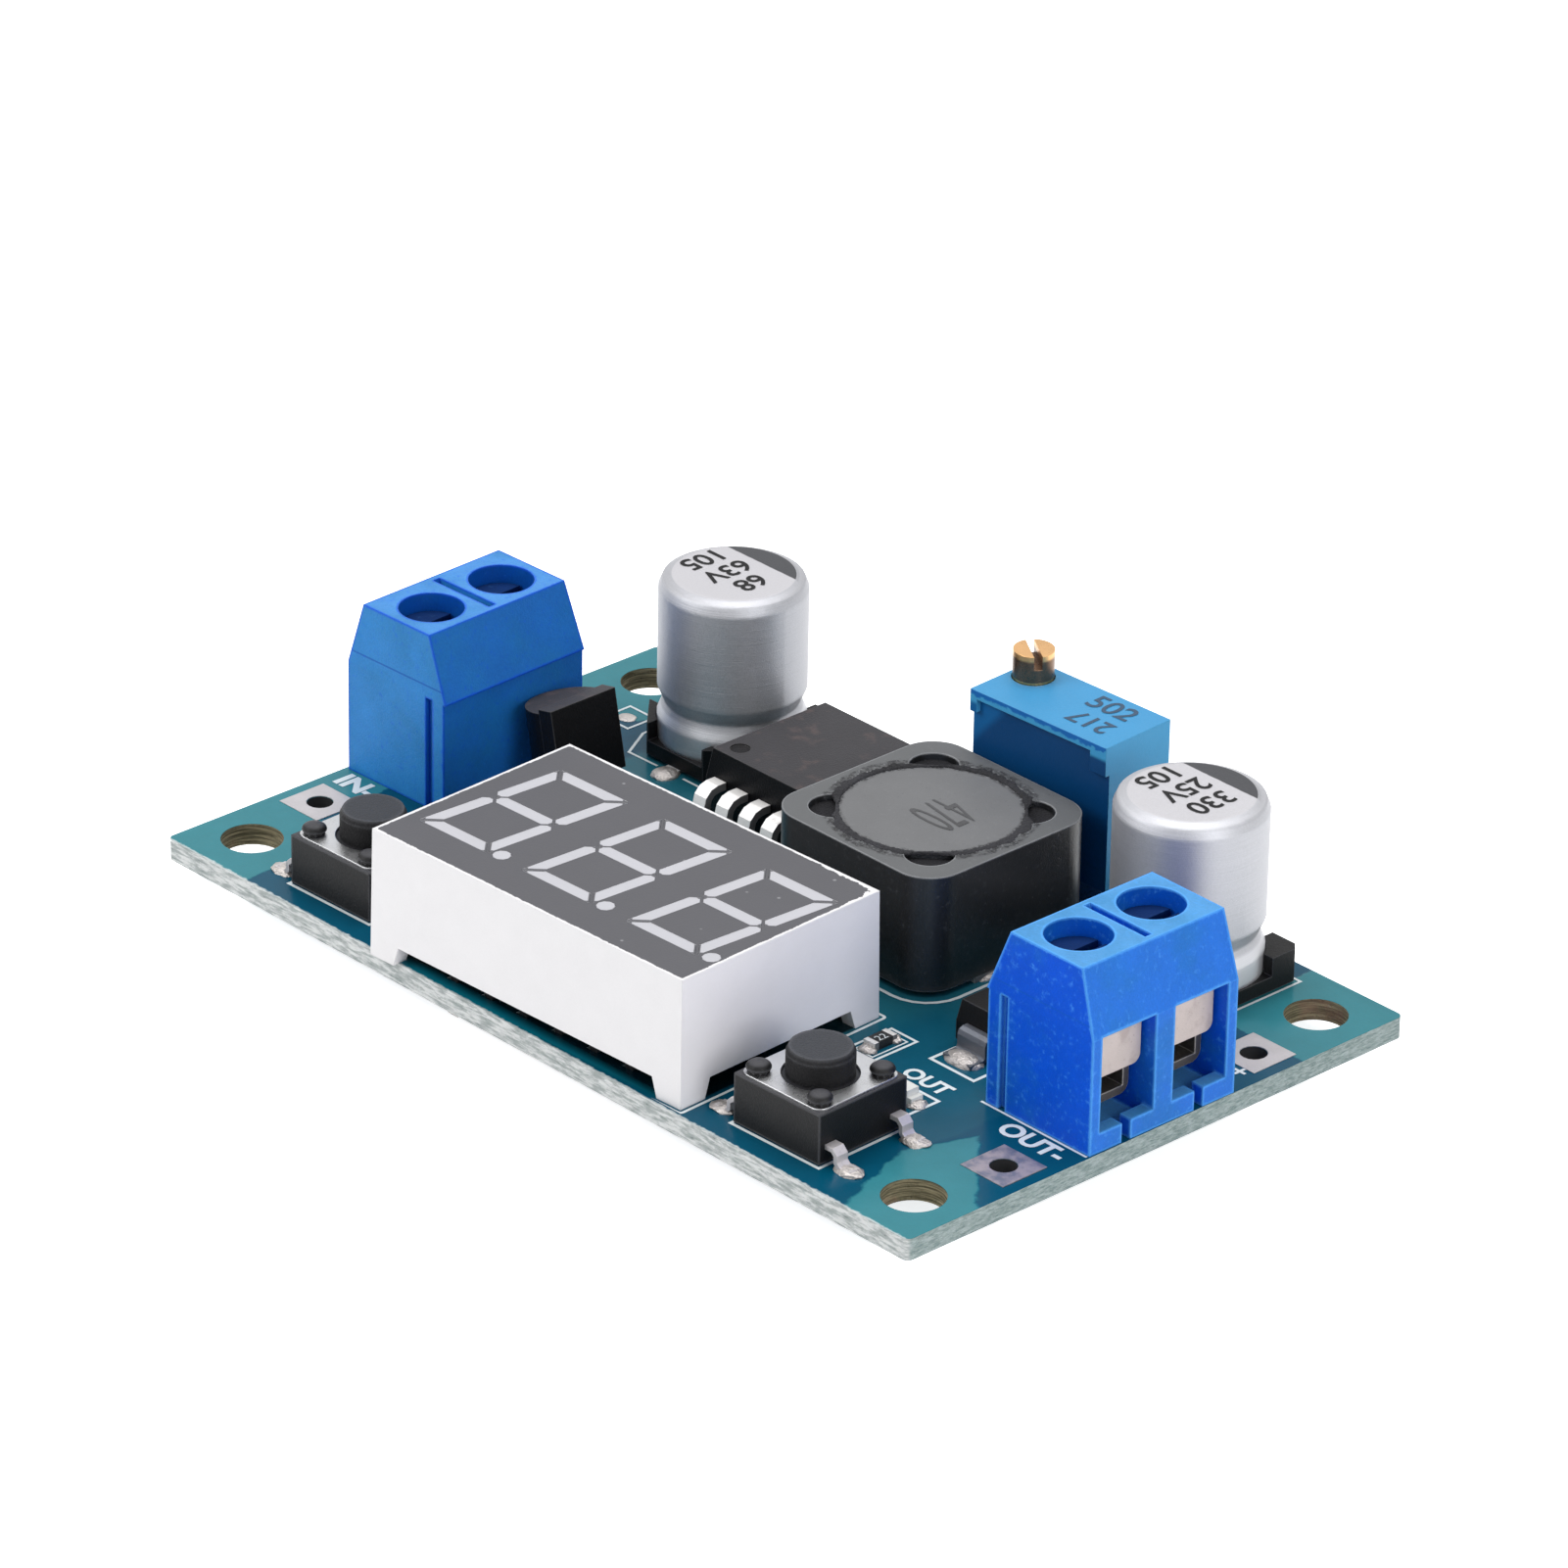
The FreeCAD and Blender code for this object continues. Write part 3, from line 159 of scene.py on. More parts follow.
class Look:
    """One material: a Principled shader and the nodes that feed it."""

    def __init__(self, name, color, roughness, metallic=0.0, **sockets):
        self.material = bpy.data.materials.new(name)
        self.material.use_nodes = True
        self.tree = self.material.node_tree
        self.shader = self.tree.nodes["Principled BSDF"]
        coords = self.tree.nodes.new("ShaderNodeTexCoord")
        self.point = self.stretched(Term(self, coords.outputs["Object"]), (1 / MM,) * 3)
        self.x, self.y, self.z = self.split(self.point)
        self.nx, self.ny, self.nz = self.split(Term(self, coords.outputs["Normal"]))
        self.set(base_color=color, roughness=roughness, metallic=metallic, **sockets)

    def node(self, kind, inputs, output=0, **settings):
        """Adds a node with its settings and inputs, and gives one of its outputs."""
        item = self.tree.nodes.new(kind)
        for key, value in settings.items():
            setattr(item, key, value)
        for key, value in inputs.items():
            self.feed(item.inputs[key], value)
        return Term(self, item.outputs[output])

    def feed(self, socket, value):
        """Links a term to a socket, or sets a plain value on it."""
        if isinstance(value, Term):
            self.tree.links.new(value.socket, socket)
        else:
            socket.default_value = value

    def set(self, **sockets):
        """Feeds the shader's own sockets: base_color stands for Base Color."""
        for key, value in sockets.items():
            socket = key.replace("_", " ").title().replace("Ior", "IOR")
            self.feed(self.shader.inputs[socket], value)

    def split(self, vector):
        """The three parts of a vector."""
        item = self.tree.nodes.new("ShaderNodeSeparateXYZ")
        self.feed(item.inputs[0], vector)
        return (Term(self, item.outputs[axis]) for axis in range(3))

    def stretched(self, vector, factors):
        """A vector with each of its parts times its own factor."""
        return self.node("ShaderNodeVectorMath", {0: vector, 1: factors}, operation="MULTIPLY")

    def noise(self, scale, detail=3.0, stretch=(1, 1, 1), rough=0.55):
        """Noise about 0, from about -0.5 to 0.5, with scale in cells per millimetre."""
        spot = self.stretched(self.point, stretch)
        inputs = {"Vector": spot, "Scale": scale, "Detail": detail, "Roughness": rough}
        return self.node("ShaderNodeTexNoise", inputs) - 0.5

    def cells(self, scale):
        """Distance from the middles of random cells, with scale in cells per millimetre."""
        return self.node("ShaderNodeTexVoronoi", {"Vector": self.point, "Scale": scale}, "Distance")

    def mix(self, low, high, amount):
        """A colour between two others, by an amount from 0 to 1."""
        item = self.tree.nodes.new("ShaderNodeMix")
        item.data_type = "RGBA"
        factor, first, second, result = 0, 6, 7, 2  # the colour sockets of this node
        self.feed(item.inputs[factor], amount)
        self.feed(item.inputs[first], low)
        self.feed(item.inputs[second], high)
        return Term(self, item.outputs[result])

    def shade(self, color, amount):
        """A colour made lighter or darker by a varying amount about 0."""
        return self.node("ShaderNodeHueSaturation", {"Color": color, "Value": amount + 1.0})

    def local(self, seat):
        """The two level coordinates about a seated component."""
        dx, dy = self.x - seat.x, self.y - seat.y
        return dx * seat.cos + dy * seat.sin, dy * seat.cos - dx * seat.sin

    def up(self, low, high):
        """How far the surface faces up, between two limits of its normal."""
        return self.nz.rise(low, high)

    def box(self, u, v, half_u, half_v, corner):
        """Distance outside a rounded rectangle, negative inside."""
        du = (u.size() - (half_u - corner)).most(0.0)
        dv = (v.size() - (half_v - corner)).most(0.0)
        inside = (u.size() - half_u).most(v.size() - half_v).least(0.0)
        return du.reach(dv) + inside - corner

    def disc(self, u, v, radius):
        """Distance outside a circle, negative inside."""
        return self.box(u, v, radius, radius, radius)

    def relief(self, height, depth, soft):
        """Surface relief in millimetres over softly rounded edges."""
        edge = self.node("ShaderNodeBevel", {"Radius": soft * MM}, samples=6)
        inputs = {"Height": height, "Distance": depth * MM, "Strength": 1.0, "Normal": edge}
        self.set(normal=self.node("ShaderNodeBump", inputs))

    # An edge mask for pale edges that are partly wear and partly painted highlight
    def wear_and_highlight_edge(self, width, ragged=0.5):
        """1 along sharp edges, broken up by noise, 0 on open faces."""
        bent = self.node("ShaderNodeBevel", {"Radius": width * MM}, samples=6)
        shape = self.node("ShaderNodeNewGeometry", {}, "Normal")
        inputs = {0: bent, 1: shape}
        straight = self.node("ShaderNodeVectorMath", inputs, "Value", operation="DOT_PRODUCT")
        return (straight + self.noise(3.0, 4.0) * ragged * 0.06).rise(0.997, 0.955)


def plastic(name, color, roughness, grain, soft=0.08, mottle=0.06, pale_tint=None, **sockets):
    """Moulded plastic with a fine grain, slight flow marks and rounded edges, pale at its edges
    where a tint is given, partly wear and partly painted highlight.
    """
    look = Look(name, color, roughness, **sockets)
    fine = look.noise(9.0, 4.0)
    slow = look.noise(0.35, 2.0)
    look.base = look.shade(color, slow * mottle * 2 + fine * mottle)
    if pale_tint:
        # Pale edges: partly wear, partly painted highlight
        look.edge = look.wear_and_highlight_edge(soft) * 0.8
        look.base = look.mix(look.base, pale_tint, look.edge)
    look.set(base_color=look.base, roughness=fine * 0.16 + roughness + slow * 0.12)
    look.relief(fine, 0.02 * grain, soft)
    return look


def metal(name, color, roughness, grain, stretch=(1, 1, 1), soft=0.05, stain=0.25,
          metallic=1.0):
    """Bare or plated metal with faint rolling marks and slight staining."""
    look = Look(name, color, roughness, metallic)
    fine = look.noise(7.0, 4.0, stretch)
    slow = look.noise(0.7, 3.0)
    look.base = look.shade(color, slow * stain + fine * stain * 0.6)
    look.set(base_color=look.base, roughness=fine * 0.18 + roughness + slow * 0.15)
    look.relief(fine, 0.015 * grain, soft)
    return look


# Board


def mask_copper(look):
    """1 where the solder mask lies over a copper pour, 0 over bare laminate."""
    warp = look.noise(0.9, 4.0)
    x, y = look.x + warp * 0.7, look.y + warp * 0.7
    ends = look.box(x.size() - 25.6, y.size() - 14.6, 4.0, 4.6, 1.6)
    left = look.box(x + 26.6, y, 2.0, 12.5, 1.2)
    field = look.box(x - 1.5, y - 1.0, 20.5, 11.0, 2.0)
    # The pour round the front right hole is cut off slantwise
    dx, dy = x - HOLE_PLACE[0], y + HOLE_PLACE[1]
    slant = ((dx + dy) * -0.7 + 3.05).least(dx + dy * 0.37 + 2.7).least(dx - dy * 0.384 + 4.66)
    corner = x.rise(9.8, 10.2) * y.rise(0.2, -0.2)
    ends = ends * (1.0 - corner) - slant * corner
    plane = ends.least(left).rise(0.12, -0.12)
    sparse = 1.0 - x.rise(10.0, 13.0) * y.rise(3.0, -1.0) * 0.75
    return plane.most(field.rise(0.3, -0.2) * 0.45 * sparse)


def mask_color(look, copper, fine, slow):
    """Blue green mask, painted dark under the display as shade, with painted light on a strip there
    near the front edge, and a pale ragged line at the front edge.
    """
    tone = look.mix(ink(2, 74, 99), ink(50, 124, 134), copper)
    ragged = (look.y + BOARD_EDGE + look.noise(2.4, 5.0) * 0.35).rise(0.16, 0.02)
    # Painted shade on the mask under the display, and painted light on a strip of it at the front
    # edge
    under = look.box(*look.local(DISPLAY), *DISPLAY_HALF, 0.3).rise(0.25, -0.35)
    shaded = under * look.up(0.5, 0.9)
    strip = (look.y + BOARD_EDGE).rise(1.1, 0.1) * shaded
    tone = look.mix(tone, ink(1, 14, 20), shaded * 0.92)
    tone = look.mix(tone, ink(8, 116, 138), strip * 0.85)
    return look.mix(look.shade(tone, slow * 0.24 + fine * 0.1), ink(206, 214, 214), ragged * 0.8)


def cut_edges(look):
    """Colour and relief of the cut laminate: milled edges, a snapped front edge and holes, the wire
    holes painted dark as shade.
    """
    fibre = look.noise(3.0, 6.0, (0.6, 0.6, 3.0), 0.75)
    fleck = look.noise(2.0, 6.0, (0.5, 0.5, 2.6), 0.7)
    bundle = look.cells(3.0).rise(0.3, 0.1)
    snapped = look.mix(ink(168, 176, 176), ink(228, 231, 231), fleck.rise(-0.1, 0.1))
    dents = (fibre * 0.6 + fleck).rise(-0.12, -0.24) * 0.8
    snapped = look.shade(look.mix(snapped, ink(112, 126, 124), dents), fibre * 0.35)
    milled = look.mix(ink(126, 146, 145), ink(186, 200, 200), fibre.rise(-0.16, 0.16))
    color = look.mix(milled, snapped, (look.y + BOARD_EDGE).size().rise(0.3, 0.1))

    across, along = look.x.size(), look.y.size()
    hole = look.disc(across - HOLE_PLACE[0], along - HOLE_PLACE[1], HOLE_RADIUS).rise(0.05, -0.05)
    ply = look.noise(1.0, 3.0, (0.4, 0.4, 9.0), 0.7).rise(-0.15, 0.2)
    rust = look.noise(0.6, 2.0).rise(0.0, 0.2) * 0.4
    wall = look.mix(look.mix(ink(84, 80, 60), ink(170, 160, 130), ply), ink(150, 112, 98), rust)
    color = look.mix(color, wall, hole)
    # The wire holes' walls are painted dark as shade
    bore = look.disc(across - BORE_PLACE[0], along - BORE_PLACE[1], BORE_RADIUS).rise(0.05, -0.05)
    color = look.mix(color, look.shade(ink(44, 44, 46), fibre * 0.8), bore)
    return color, (fibre * 2.0 + fleck * 3.0 - bundle) * (1.0 - bore)


def board_look():
    """Solder mask over copper, and bare laminate at the edges and in the holes."""
    look = Look("board_mask", ink(10, 92, 118), 0.24, specular_ior_level=0.14)
    fine = look.noise(6.0, 4.0)
    slow = look.noise(0.5, 3.0)
    copper = mask_copper(look)
    edge, rough = cut_edges(look)
    side = look.nz.size().rise(0.6, 0.4)
    look.set(
        base_color=look.mix(mask_color(look, copper, fine, slow), edge, side),
        roughness=side * 0.4 + 0.24 + fine * 0.1,
    )
    ridge = copper * 0.3 + fine * 0.12 + slow * 0.5
    look.relief(ridge * (1.0 - side) + rough * side, 0.04, 0.06)
    return look


# Components


def can_look(name, seat, level):
    """Drawn aluminium at a grey level, with a painted highlight along its bead and a dark printed
    segment on its flat top.
    """
    look = Look(name, ink(184, 185, 189), 0.5, 1.0)
    u, v = look.local(seat)
    turn = u.math("ARCTAN2", v)
    lines = look.node("ShaderNodeCombineXYZ", {0: turn * 0.3, 1: look.z * 9.0, 2: 0.0})
    drawn = look.node("ShaderNodeTexNoise", {"Vector": lines, "Scale": 3.0, "Detail": 4.0}) - 0.5
    fine = look.noise(8.0, 4.0)
    grit = look.noise(22.0, 2.0)
    flat = look.up(0.9, 0.99)
    edge = look.noise(1.6, 3.0) * 0.08
    segment = (v + edge).rise(1.93, 2.0) * flat * (u.reach(v) + edge).rise(3.5, 3.42)
    silver = look.shade(ink(level, level + 1, level + 6), drawn * 0.3 + fine * 0.22 + grit * 0.2)
    # Painted highlight on the rolled bead
    bead = (look.z - CAN_BEAD).rise(0.12, -0.12) * 0.8
    silver = look.mix(silver, look.shade(ink(212, 213, 217), drawn * 0.2), bead)
    top = look.shade(ink(188, 187, 191), fine * 0.14 + grit * 0.22)
    printed = look.shade(ink(50, 51, 56), grit * 0.6)
    look.set(
        base_color=look.mix(look.mix(silver, top, flat), printed, segment),
        metallic=0.74 - segment * 0.65 - flat * 0.1,
        roughness=drawn * 0.12 + 0.47 + fine * 0.1 + flat * 0.08,
    )
    look.relief(drawn * (1.0 - flat) + fine * 0.3 + grit * 0.5, 0.012, 0.34)
    return look


def chip_look(name, dot=None):
    """Moulded package, black at the sides and painted greyer on top as light, with faint brownish
    rubbing and pale edges, partly wear and partly painted highlight.
    """
    black, pale = ink(10, 10, 12), ink(96, 95, 96)
    look = plastic(name, black, 0.5, 1.4, 0.07, 0.12, pale, specular_ior_level=0.15)
    top = look.up(0.7, 0.9)
    fine = look.noise(14.0, 3.0)
    slow = look.noise(0.5, 3.0)
    rub_and_highlight = (look.noise(1.1, 5.0) + look.noise(0.35, 2.0) * 0.7).rise(0.04, 0.3)
    # The greyer top is painted light
    color = look.shade(look.mix(black, ink(62, 61, 64), top), fine * 0.35 + slow * 0.2)
    color = look.mix(color, ink(92, 80, 79), rub_and_highlight * top * 0.6)
    if dot:
        reach = (look.x - dot[0]).reach(look.y - dot[1])
        inside = reach.rise(CHIP_DOT_RADIUS + 0.05, CHIP_DOT_RADIUS - 0.05)
        color = look.mix(color, ink(16, 16, 18), inside * top * 0.8)
    # Pale edges: partly wear, partly painted highlight
    color = look.mix(color, pale, look.edge * 0.7)
    look.set(base_color=color, roughness=top * 0.22 + 0.36 + fine * 0.2)
    return look


def ferrite_look(name, side_color, top_color, rim, inner):
    """Sintered ferrite: matt ground top, darker shiny sides, rough and dark at the glued gap,
    painted highlights on its rounded corners and painted glints on its sides, and pale edges,
    partly wear and partly painted highlight.

    The rim is the radius of the edge at the gap: the drum's outer edge, as it is the inner
    piece, or the shield's hole.
    """
    look = Look(name, side_color, 0.3)
    top = look.up(0.7, 0.9)
    fine = look.noise(10.0, 4.0)
    slow = look.noise(0.4, 3.0)
    pit = look.cells(2.2).rise(0.12, 0.05)
    u, v = look.local(COIL)
    reach = u.reach(v) + look.noise(1.8, 5.0) * 0.5
    crust = reach.rise(rim - 0.34, rim - 0.1) if inner else reach.rise(rim + 0.62, rim + 0.42)
    crack = (look.noise(2.6, 6.0, rough=0.75) + look.noise(8.0, 3.0) * 0.4).rise(0.09, -0.09)
    crumb = look.noise(4.5, 4.0).rise(0.06, 0.2) * crust * top
    crust = crust * (crack * 0.85 + 0.15)
    # Painted highlight on the rounded corners, and painted glints on the sides
    corner = look.nx.size().least(look.ny.size()).rise(0.15, 0.6)
    sparkle = look.cells(3.0).rise(0.09, 0.03) * (1.0 - top)
    color = look.mix(look.mix(side_color, ink(44, 48, 54), corner), top_color, top)
    color = look.shade(color, fine * 0.22 + slow * 0.25 - pit * 0.3 * top)
    color = look.mix(color, look.shade(ink(22, 22, 26), fine * 1.5), crust * top * 0.92)
    color = look.mix(color, ink(136, 137, 142), (crumb * 0.6).most(sparkle * 0.35))
    # Pale edges: partly wear, partly painted highlight
    color = look.mix(color, ink(160, 162, 166), look.wear_and_highlight_edge(0.14, 0.9) * 0.65)
    look.set(base_color=color, roughness=top * 0.26 + 0.3 + fine * 0.12)
    look.relief(fine * (crust * 9.0 + 0.6) - pit * 0.6 + slow * 0.8, 0.02, 0.16)
    return look


def trimmer_look():
    """Blue moulding, painted dark on its long front face as shade with painted light on its upper
    left, paler elsewhere, chewed along its lip, and pale edges off the front face, partly wear and
    partly painted highlight.
    """
    look = plastic("trimmer_moulding", ink(36, 120, 178), 0.44, 0.5, 0.07,
                   pale_tint=ink(90, 176, 226), specular_ior_level=0.25)
    u, v = look.local(TRIMMER)
    long_side = look.ny.rise(-0.5, -0.9)
    lip = v.rise(-2.15, -2.3)
    # Painted shade over the long front face, left off the top of the lip
    front_shade = long_side * (1.0 - lip * look.z.rise(TRIMMER_TOP - 0.9, TRIMMER_TOP - 0.6))
    color = look.mix(ink(65, 156, 206), ink(62, 144, 194), look.up(0.5, 0.9))
    color = look.mix(color, ink(4, 66, 118), front_shade)
    # Painted light on the upper left of the shaded front face
    lit = (look.z - 8.0 - (u + 4.77) * 1.1).rise(-0.3, 0.6) * front_shade
    color = look.mix(color, ink(16, 104, 168), lit * 0.75)
    ragged = look.z + look.noise(2.2, 5.0) * 0.9
    chewed = ragged.rise(TRIMMER_TOP - 0.35, TRIMMER_TOP - 0.23) * long_side
    color = look.mix(color, ink(6, 92, 176), chewed * 0.85)
    # Pale edges off the shaded face: partly wear, partly painted highlight
    color = look.mix(color, ink(96, 180, 230), look.edge * (1.0 - front_shade) * 0.6)
    grain = look.noise(8.0, 3.0) * 0.1 + look.noise(0.5) * 0.12
    look.set(base_color=look.shade(color, grain))
    return look


def display_look():
    """White moulding with a printed dark face inside a thin pale rim, its +x faces painted lighter
    as light.
    """
    white = ink(226, 225, 227)
    look = plastic("display_moulding", white, 0.5, 0.4, 0.05, 0.03, specular_ior_level=0.35)
    u, v = look.local(DISPLAY)
    wave = look.noise(1.6, 4.0) * 0.24 + look.noise(7.0, 3.0) * 0.16
    chipped = u.rise(5.0, 11.0) * v.rise(4.0, 6.4)
    wave = wave + (look.noise(2.2, 5.0) + 0.12).most(0.0) * chipped * 1.6
    face = (look.box(u, v, *FACE_HALF, 0.15) + wave).rise(0.03, -0.03)
    dark = face * look.up(0.8, 0.95) * look.z.rise(DISPLAY_TOP - 0.2, DISPLAY_TOP - 0.1)
    fine = look.noise(9.0, 4.0)
    dust = look.cells(1.4).rise(0.05, 0.02)
    fleck = look.cells(0.45).rise(0.06, 0.02)
    gray = look.shade(ink(78, 78, 83), fine * 0.16 + look.noise(0.3) * 0.12 + dust * 0.25)
    gray = look.mix(gray, ink(150, 150, 154), fleck * 0.7)
    # The rim's +x faces are painted lighter as light
    rim = look.mix(white, ink(244, 242, 246), look.nx.rise(0.7, 0.9))
    rim = look.shade(rim, look.noise(0.6) * 0.06 + fine * 0.05)
    look.set(base_color=look.mix(rim, gray, dark), roughness=fine * 0.1 + 0.5 - dark * 0.04)
    return look


def segment_look():
    """Pale resin bars, blunted where their tips meet by the dark print of the face."""
    look = plastic("segment_resin", ink(184, 184, 190), 0.5, 0.3, 0.02, 0.05)
    u, v = look.local(DISPLAY)
    digit = (u - DIGIT_SHIFT).math("WRAP", DIGIT_PITCH / 2, -DIGIT_PITCH / 2)
    along = digit - v * DIGIT_SLANT
    a, b = along.size() - DIGIT_HALF[0], v.size() - DIGIT_HALF[1]
    near = a.rise(0.5, 0.42) * a.rise(-1.0, -0.8) * b.size().rise(1.0, 0.8)
    corner = (a - b).size().rise(0.25, 0.19).most((a + b).rise(0.27, 0.33)) * near
    middle = a.reach(v).rise(0.3, 0.24)
    printed = corner.most(middle) * look.up(0.8, 0.95)
    look.set(base_color=look.mix(look.base, ink(78, 78, 83), printed))
    return look


def laminate(name, color):
    """Fibreglass, ceramic or glaze: hard, with a fine mottle."""
    return plastic(name, color, 0.5, 0.8, 0.04, 0.15)


def blue_look(name, seat, ends, sides, top, well, pale_tint):
    """Terminal moulding: saturated blue, each face direction painted its own shade of light with
    the top lightest, painted dark in the screw wells as shade, and pale along its edges, partly
    wear and partly painted highlight.
    """
    look = plastic(name, sides, 0.5, 1.1, 0.12, 0.08, specular_ior_level=0.16)
    u, v = look.local(seat)
    # Each face direction is painted its own shade of light: the ends, the sides and a lighter top
    color = look.mix(sides, ends, look.ny.size().rise(0.6, 0.85))
    color = look.mix(color, top, look.up(0.7, 0.9))
    # Painted shade inside the screw wells
    rim = look.z.rise(WELL_RIM, WELL_RIM + 0.1)
    hole = look.disc(u, v.size() - WELL_PLACE, WELL_RADIUS).rise(0.06, 0.0) * rim
    color = look.mix(color, well, hole * look.up(0.8, 0.6))
    greener = look.mix(color, ink(30, 112, 160), 0.5)
    color = look.mix(color, greener, look.noise(0.3, 4.0).rise(-0.05, 0.2) * 0.7)
    fine, slow, grit = look.noise(7.0, 4.0), look.noise(0.5, 3.0), look.noise(16.0, 3.0)
    color = look.shade(color, slow * 0.3 + fine * 0.26 + grit * 0.26)
    seam = (look.z - TERMINAL_SEAM).size().rise(0.07, 0.03) * look.ny.size().rise(0.7, 0.9)
    color = look.mix(color, well, seam * 0.7)
    # Pale edges: partly wear, partly painted highlight
    color = look.mix(color, pale_tint, look.wear_and_highlight_edge(0.26, 1.6) * 0.85)
    scuff = look.noise(2.6, 5.0).rise(0.14, 0.3) * 0.25
    look.set(base_color=look.mix(color, look.mix(color, ink(70, 152, 240), 0.7), scuff))
    return look


def plunger_look():
    """Matt black cap, painted greyer on its top as light, speckled, with a painted highlight along
    its edges.
    """
    black = ink(12, 12, 14)
    look = plastic("plunger_moulding", black, 0.65, 4.0, 0.16, 0.15, specular_ior_level=0.2)
    # The greyer top is painted light
    color = look.mix(black, ink(60, 62, 67), look.up(0.7, 0.95))
    color = look.shade(color, look.noise(16.0, 3.0) * 0.7)
    # Painted highlight along the edges
    look.set(base_color=look.mix(color, ink(104, 105, 110), look.wear_and_highlight_edge(0.4, 0.6) * 0.4))
    return look


def base_look():
    """Black switch moulding, painted greyer where it faces up as light, and pale along its rim,
    partly wear and partly painted highlight.
    """
    look = plastic("switch_moulding", ink(11, 11, 13), 0.5, 1.2, 0.2, 0.1, ink(84, 85, 89),
                   specular_ior_level=0.24)
    # The greyer upward faces are painted light
    look.set(base_color=look.mix(look.base, ink(62, 62, 66), look.up(0.7, 0.95)))
    return look


def tin_look(name, color, dark, metallic=0.45):
    """Matt tin: broad pale faces, and flanks painted darker as shade where asked."""
    look = metal(name, color, 0.42, 0.8, metallic=metallic)
    # Painted shade on the side faces
    flank = look.nx.size().rise(0.75, 0.95)
    blotch = look.noise(1.6, 4.0).rise(0.05, 0.22) * 0.35
    color = look.mix(look.base, ink(96, 92, 92), blotch.least(look.up(0.3, 0.6)))
    look.set(base_color=look.mix(color, ink(70, 72, 76), flank * dark))
    return look


def pad_look():
    """Tinned square, greyer and stained at the front of the output end."""
    look = metal("tinned_pad", ink(190, 186, 188), 0.42, 1.4, stain=0.3, metallic=0.45)
    near = look.x.rise(10.0, 12.0) * look.y.rise(2.0, 0.0)
    smear = look.mix(ink(112, 116, 132), ink(168, 158, 162), look.noise(1.2, 4.0).rise(-0.15, 0.15))
    look.set(base_color=look.mix(look.base, smear, near))
    return look


def screw_look():
    """Plated screw sunk in its blue well, painted dark blue as the well's shade, with paler
    patches.
    """
    # The dark blue is painted shade from the well
    look = metal("clamp_screw_steel", ink(2, 40, 92), 0.7, 1.6, stain=0.7, metallic=0.0)
    pale_tint = look.noise(1.8, 4.0).rise(0.08, 0.3) * 0.25
    look.set(base_color=look.mix(look.base, ink(60, 110, 160), pale_tint), specular_ior_level=0.15)
    return look


def cage_look():
    """Bent steel loop, dull on its faces, with a painted highlight along its edges."""
    look = metal("cage_steel", ink(84, 81, 78), 0.4, 1.2, (1, 1, 4), 0.12, 0.6, 0.6)
    # Painted highlight along the edges
    rub_and_highlight = look.wear_and_highlight_edge(0.1, 1.2) * 0.5
    look.set(base_color=look.mix(look.base, ink(214, 210, 204), rub_and_highlight))
    return look


def apron_look():
    """Tarnished plate with blotches and small dark spots."""
    look = metal("contact_plate", ink(186, 176, 172), 0.6, 1.4, (1, 1, 4), stain=0.3, metallic=0.7)
    patch = look.noise(0.9, 4.0).rise(-0.02, 0.2) * 0.6
    spot = look.cells(2.4).rise(0.16, 0.08) * 0.3
    color = look.mix(look.base, ink(158, 146, 142), patch)
    look.set(base_color=look.mix(color, ink(120, 106, 100), spot))
    return look


def brass_look():
    """Turned brass, bright at the slotted end and dark down its shank."""
    look = metal("adjuster_brass", ink(226, 178, 122), 0.3, 0.6, (1, 1, 5))
    below = look.z.rise(SHANK_HIGH + 0.1, SHANK_HIGH - 0.1)
    above = look.z.rise(SHANK_LOW - 0.05, SHANK_LOW + 0.05)
    look.set(base_color=look.mix(look.base, ink(92, 74, 66), below * above * 0.9))
    return look


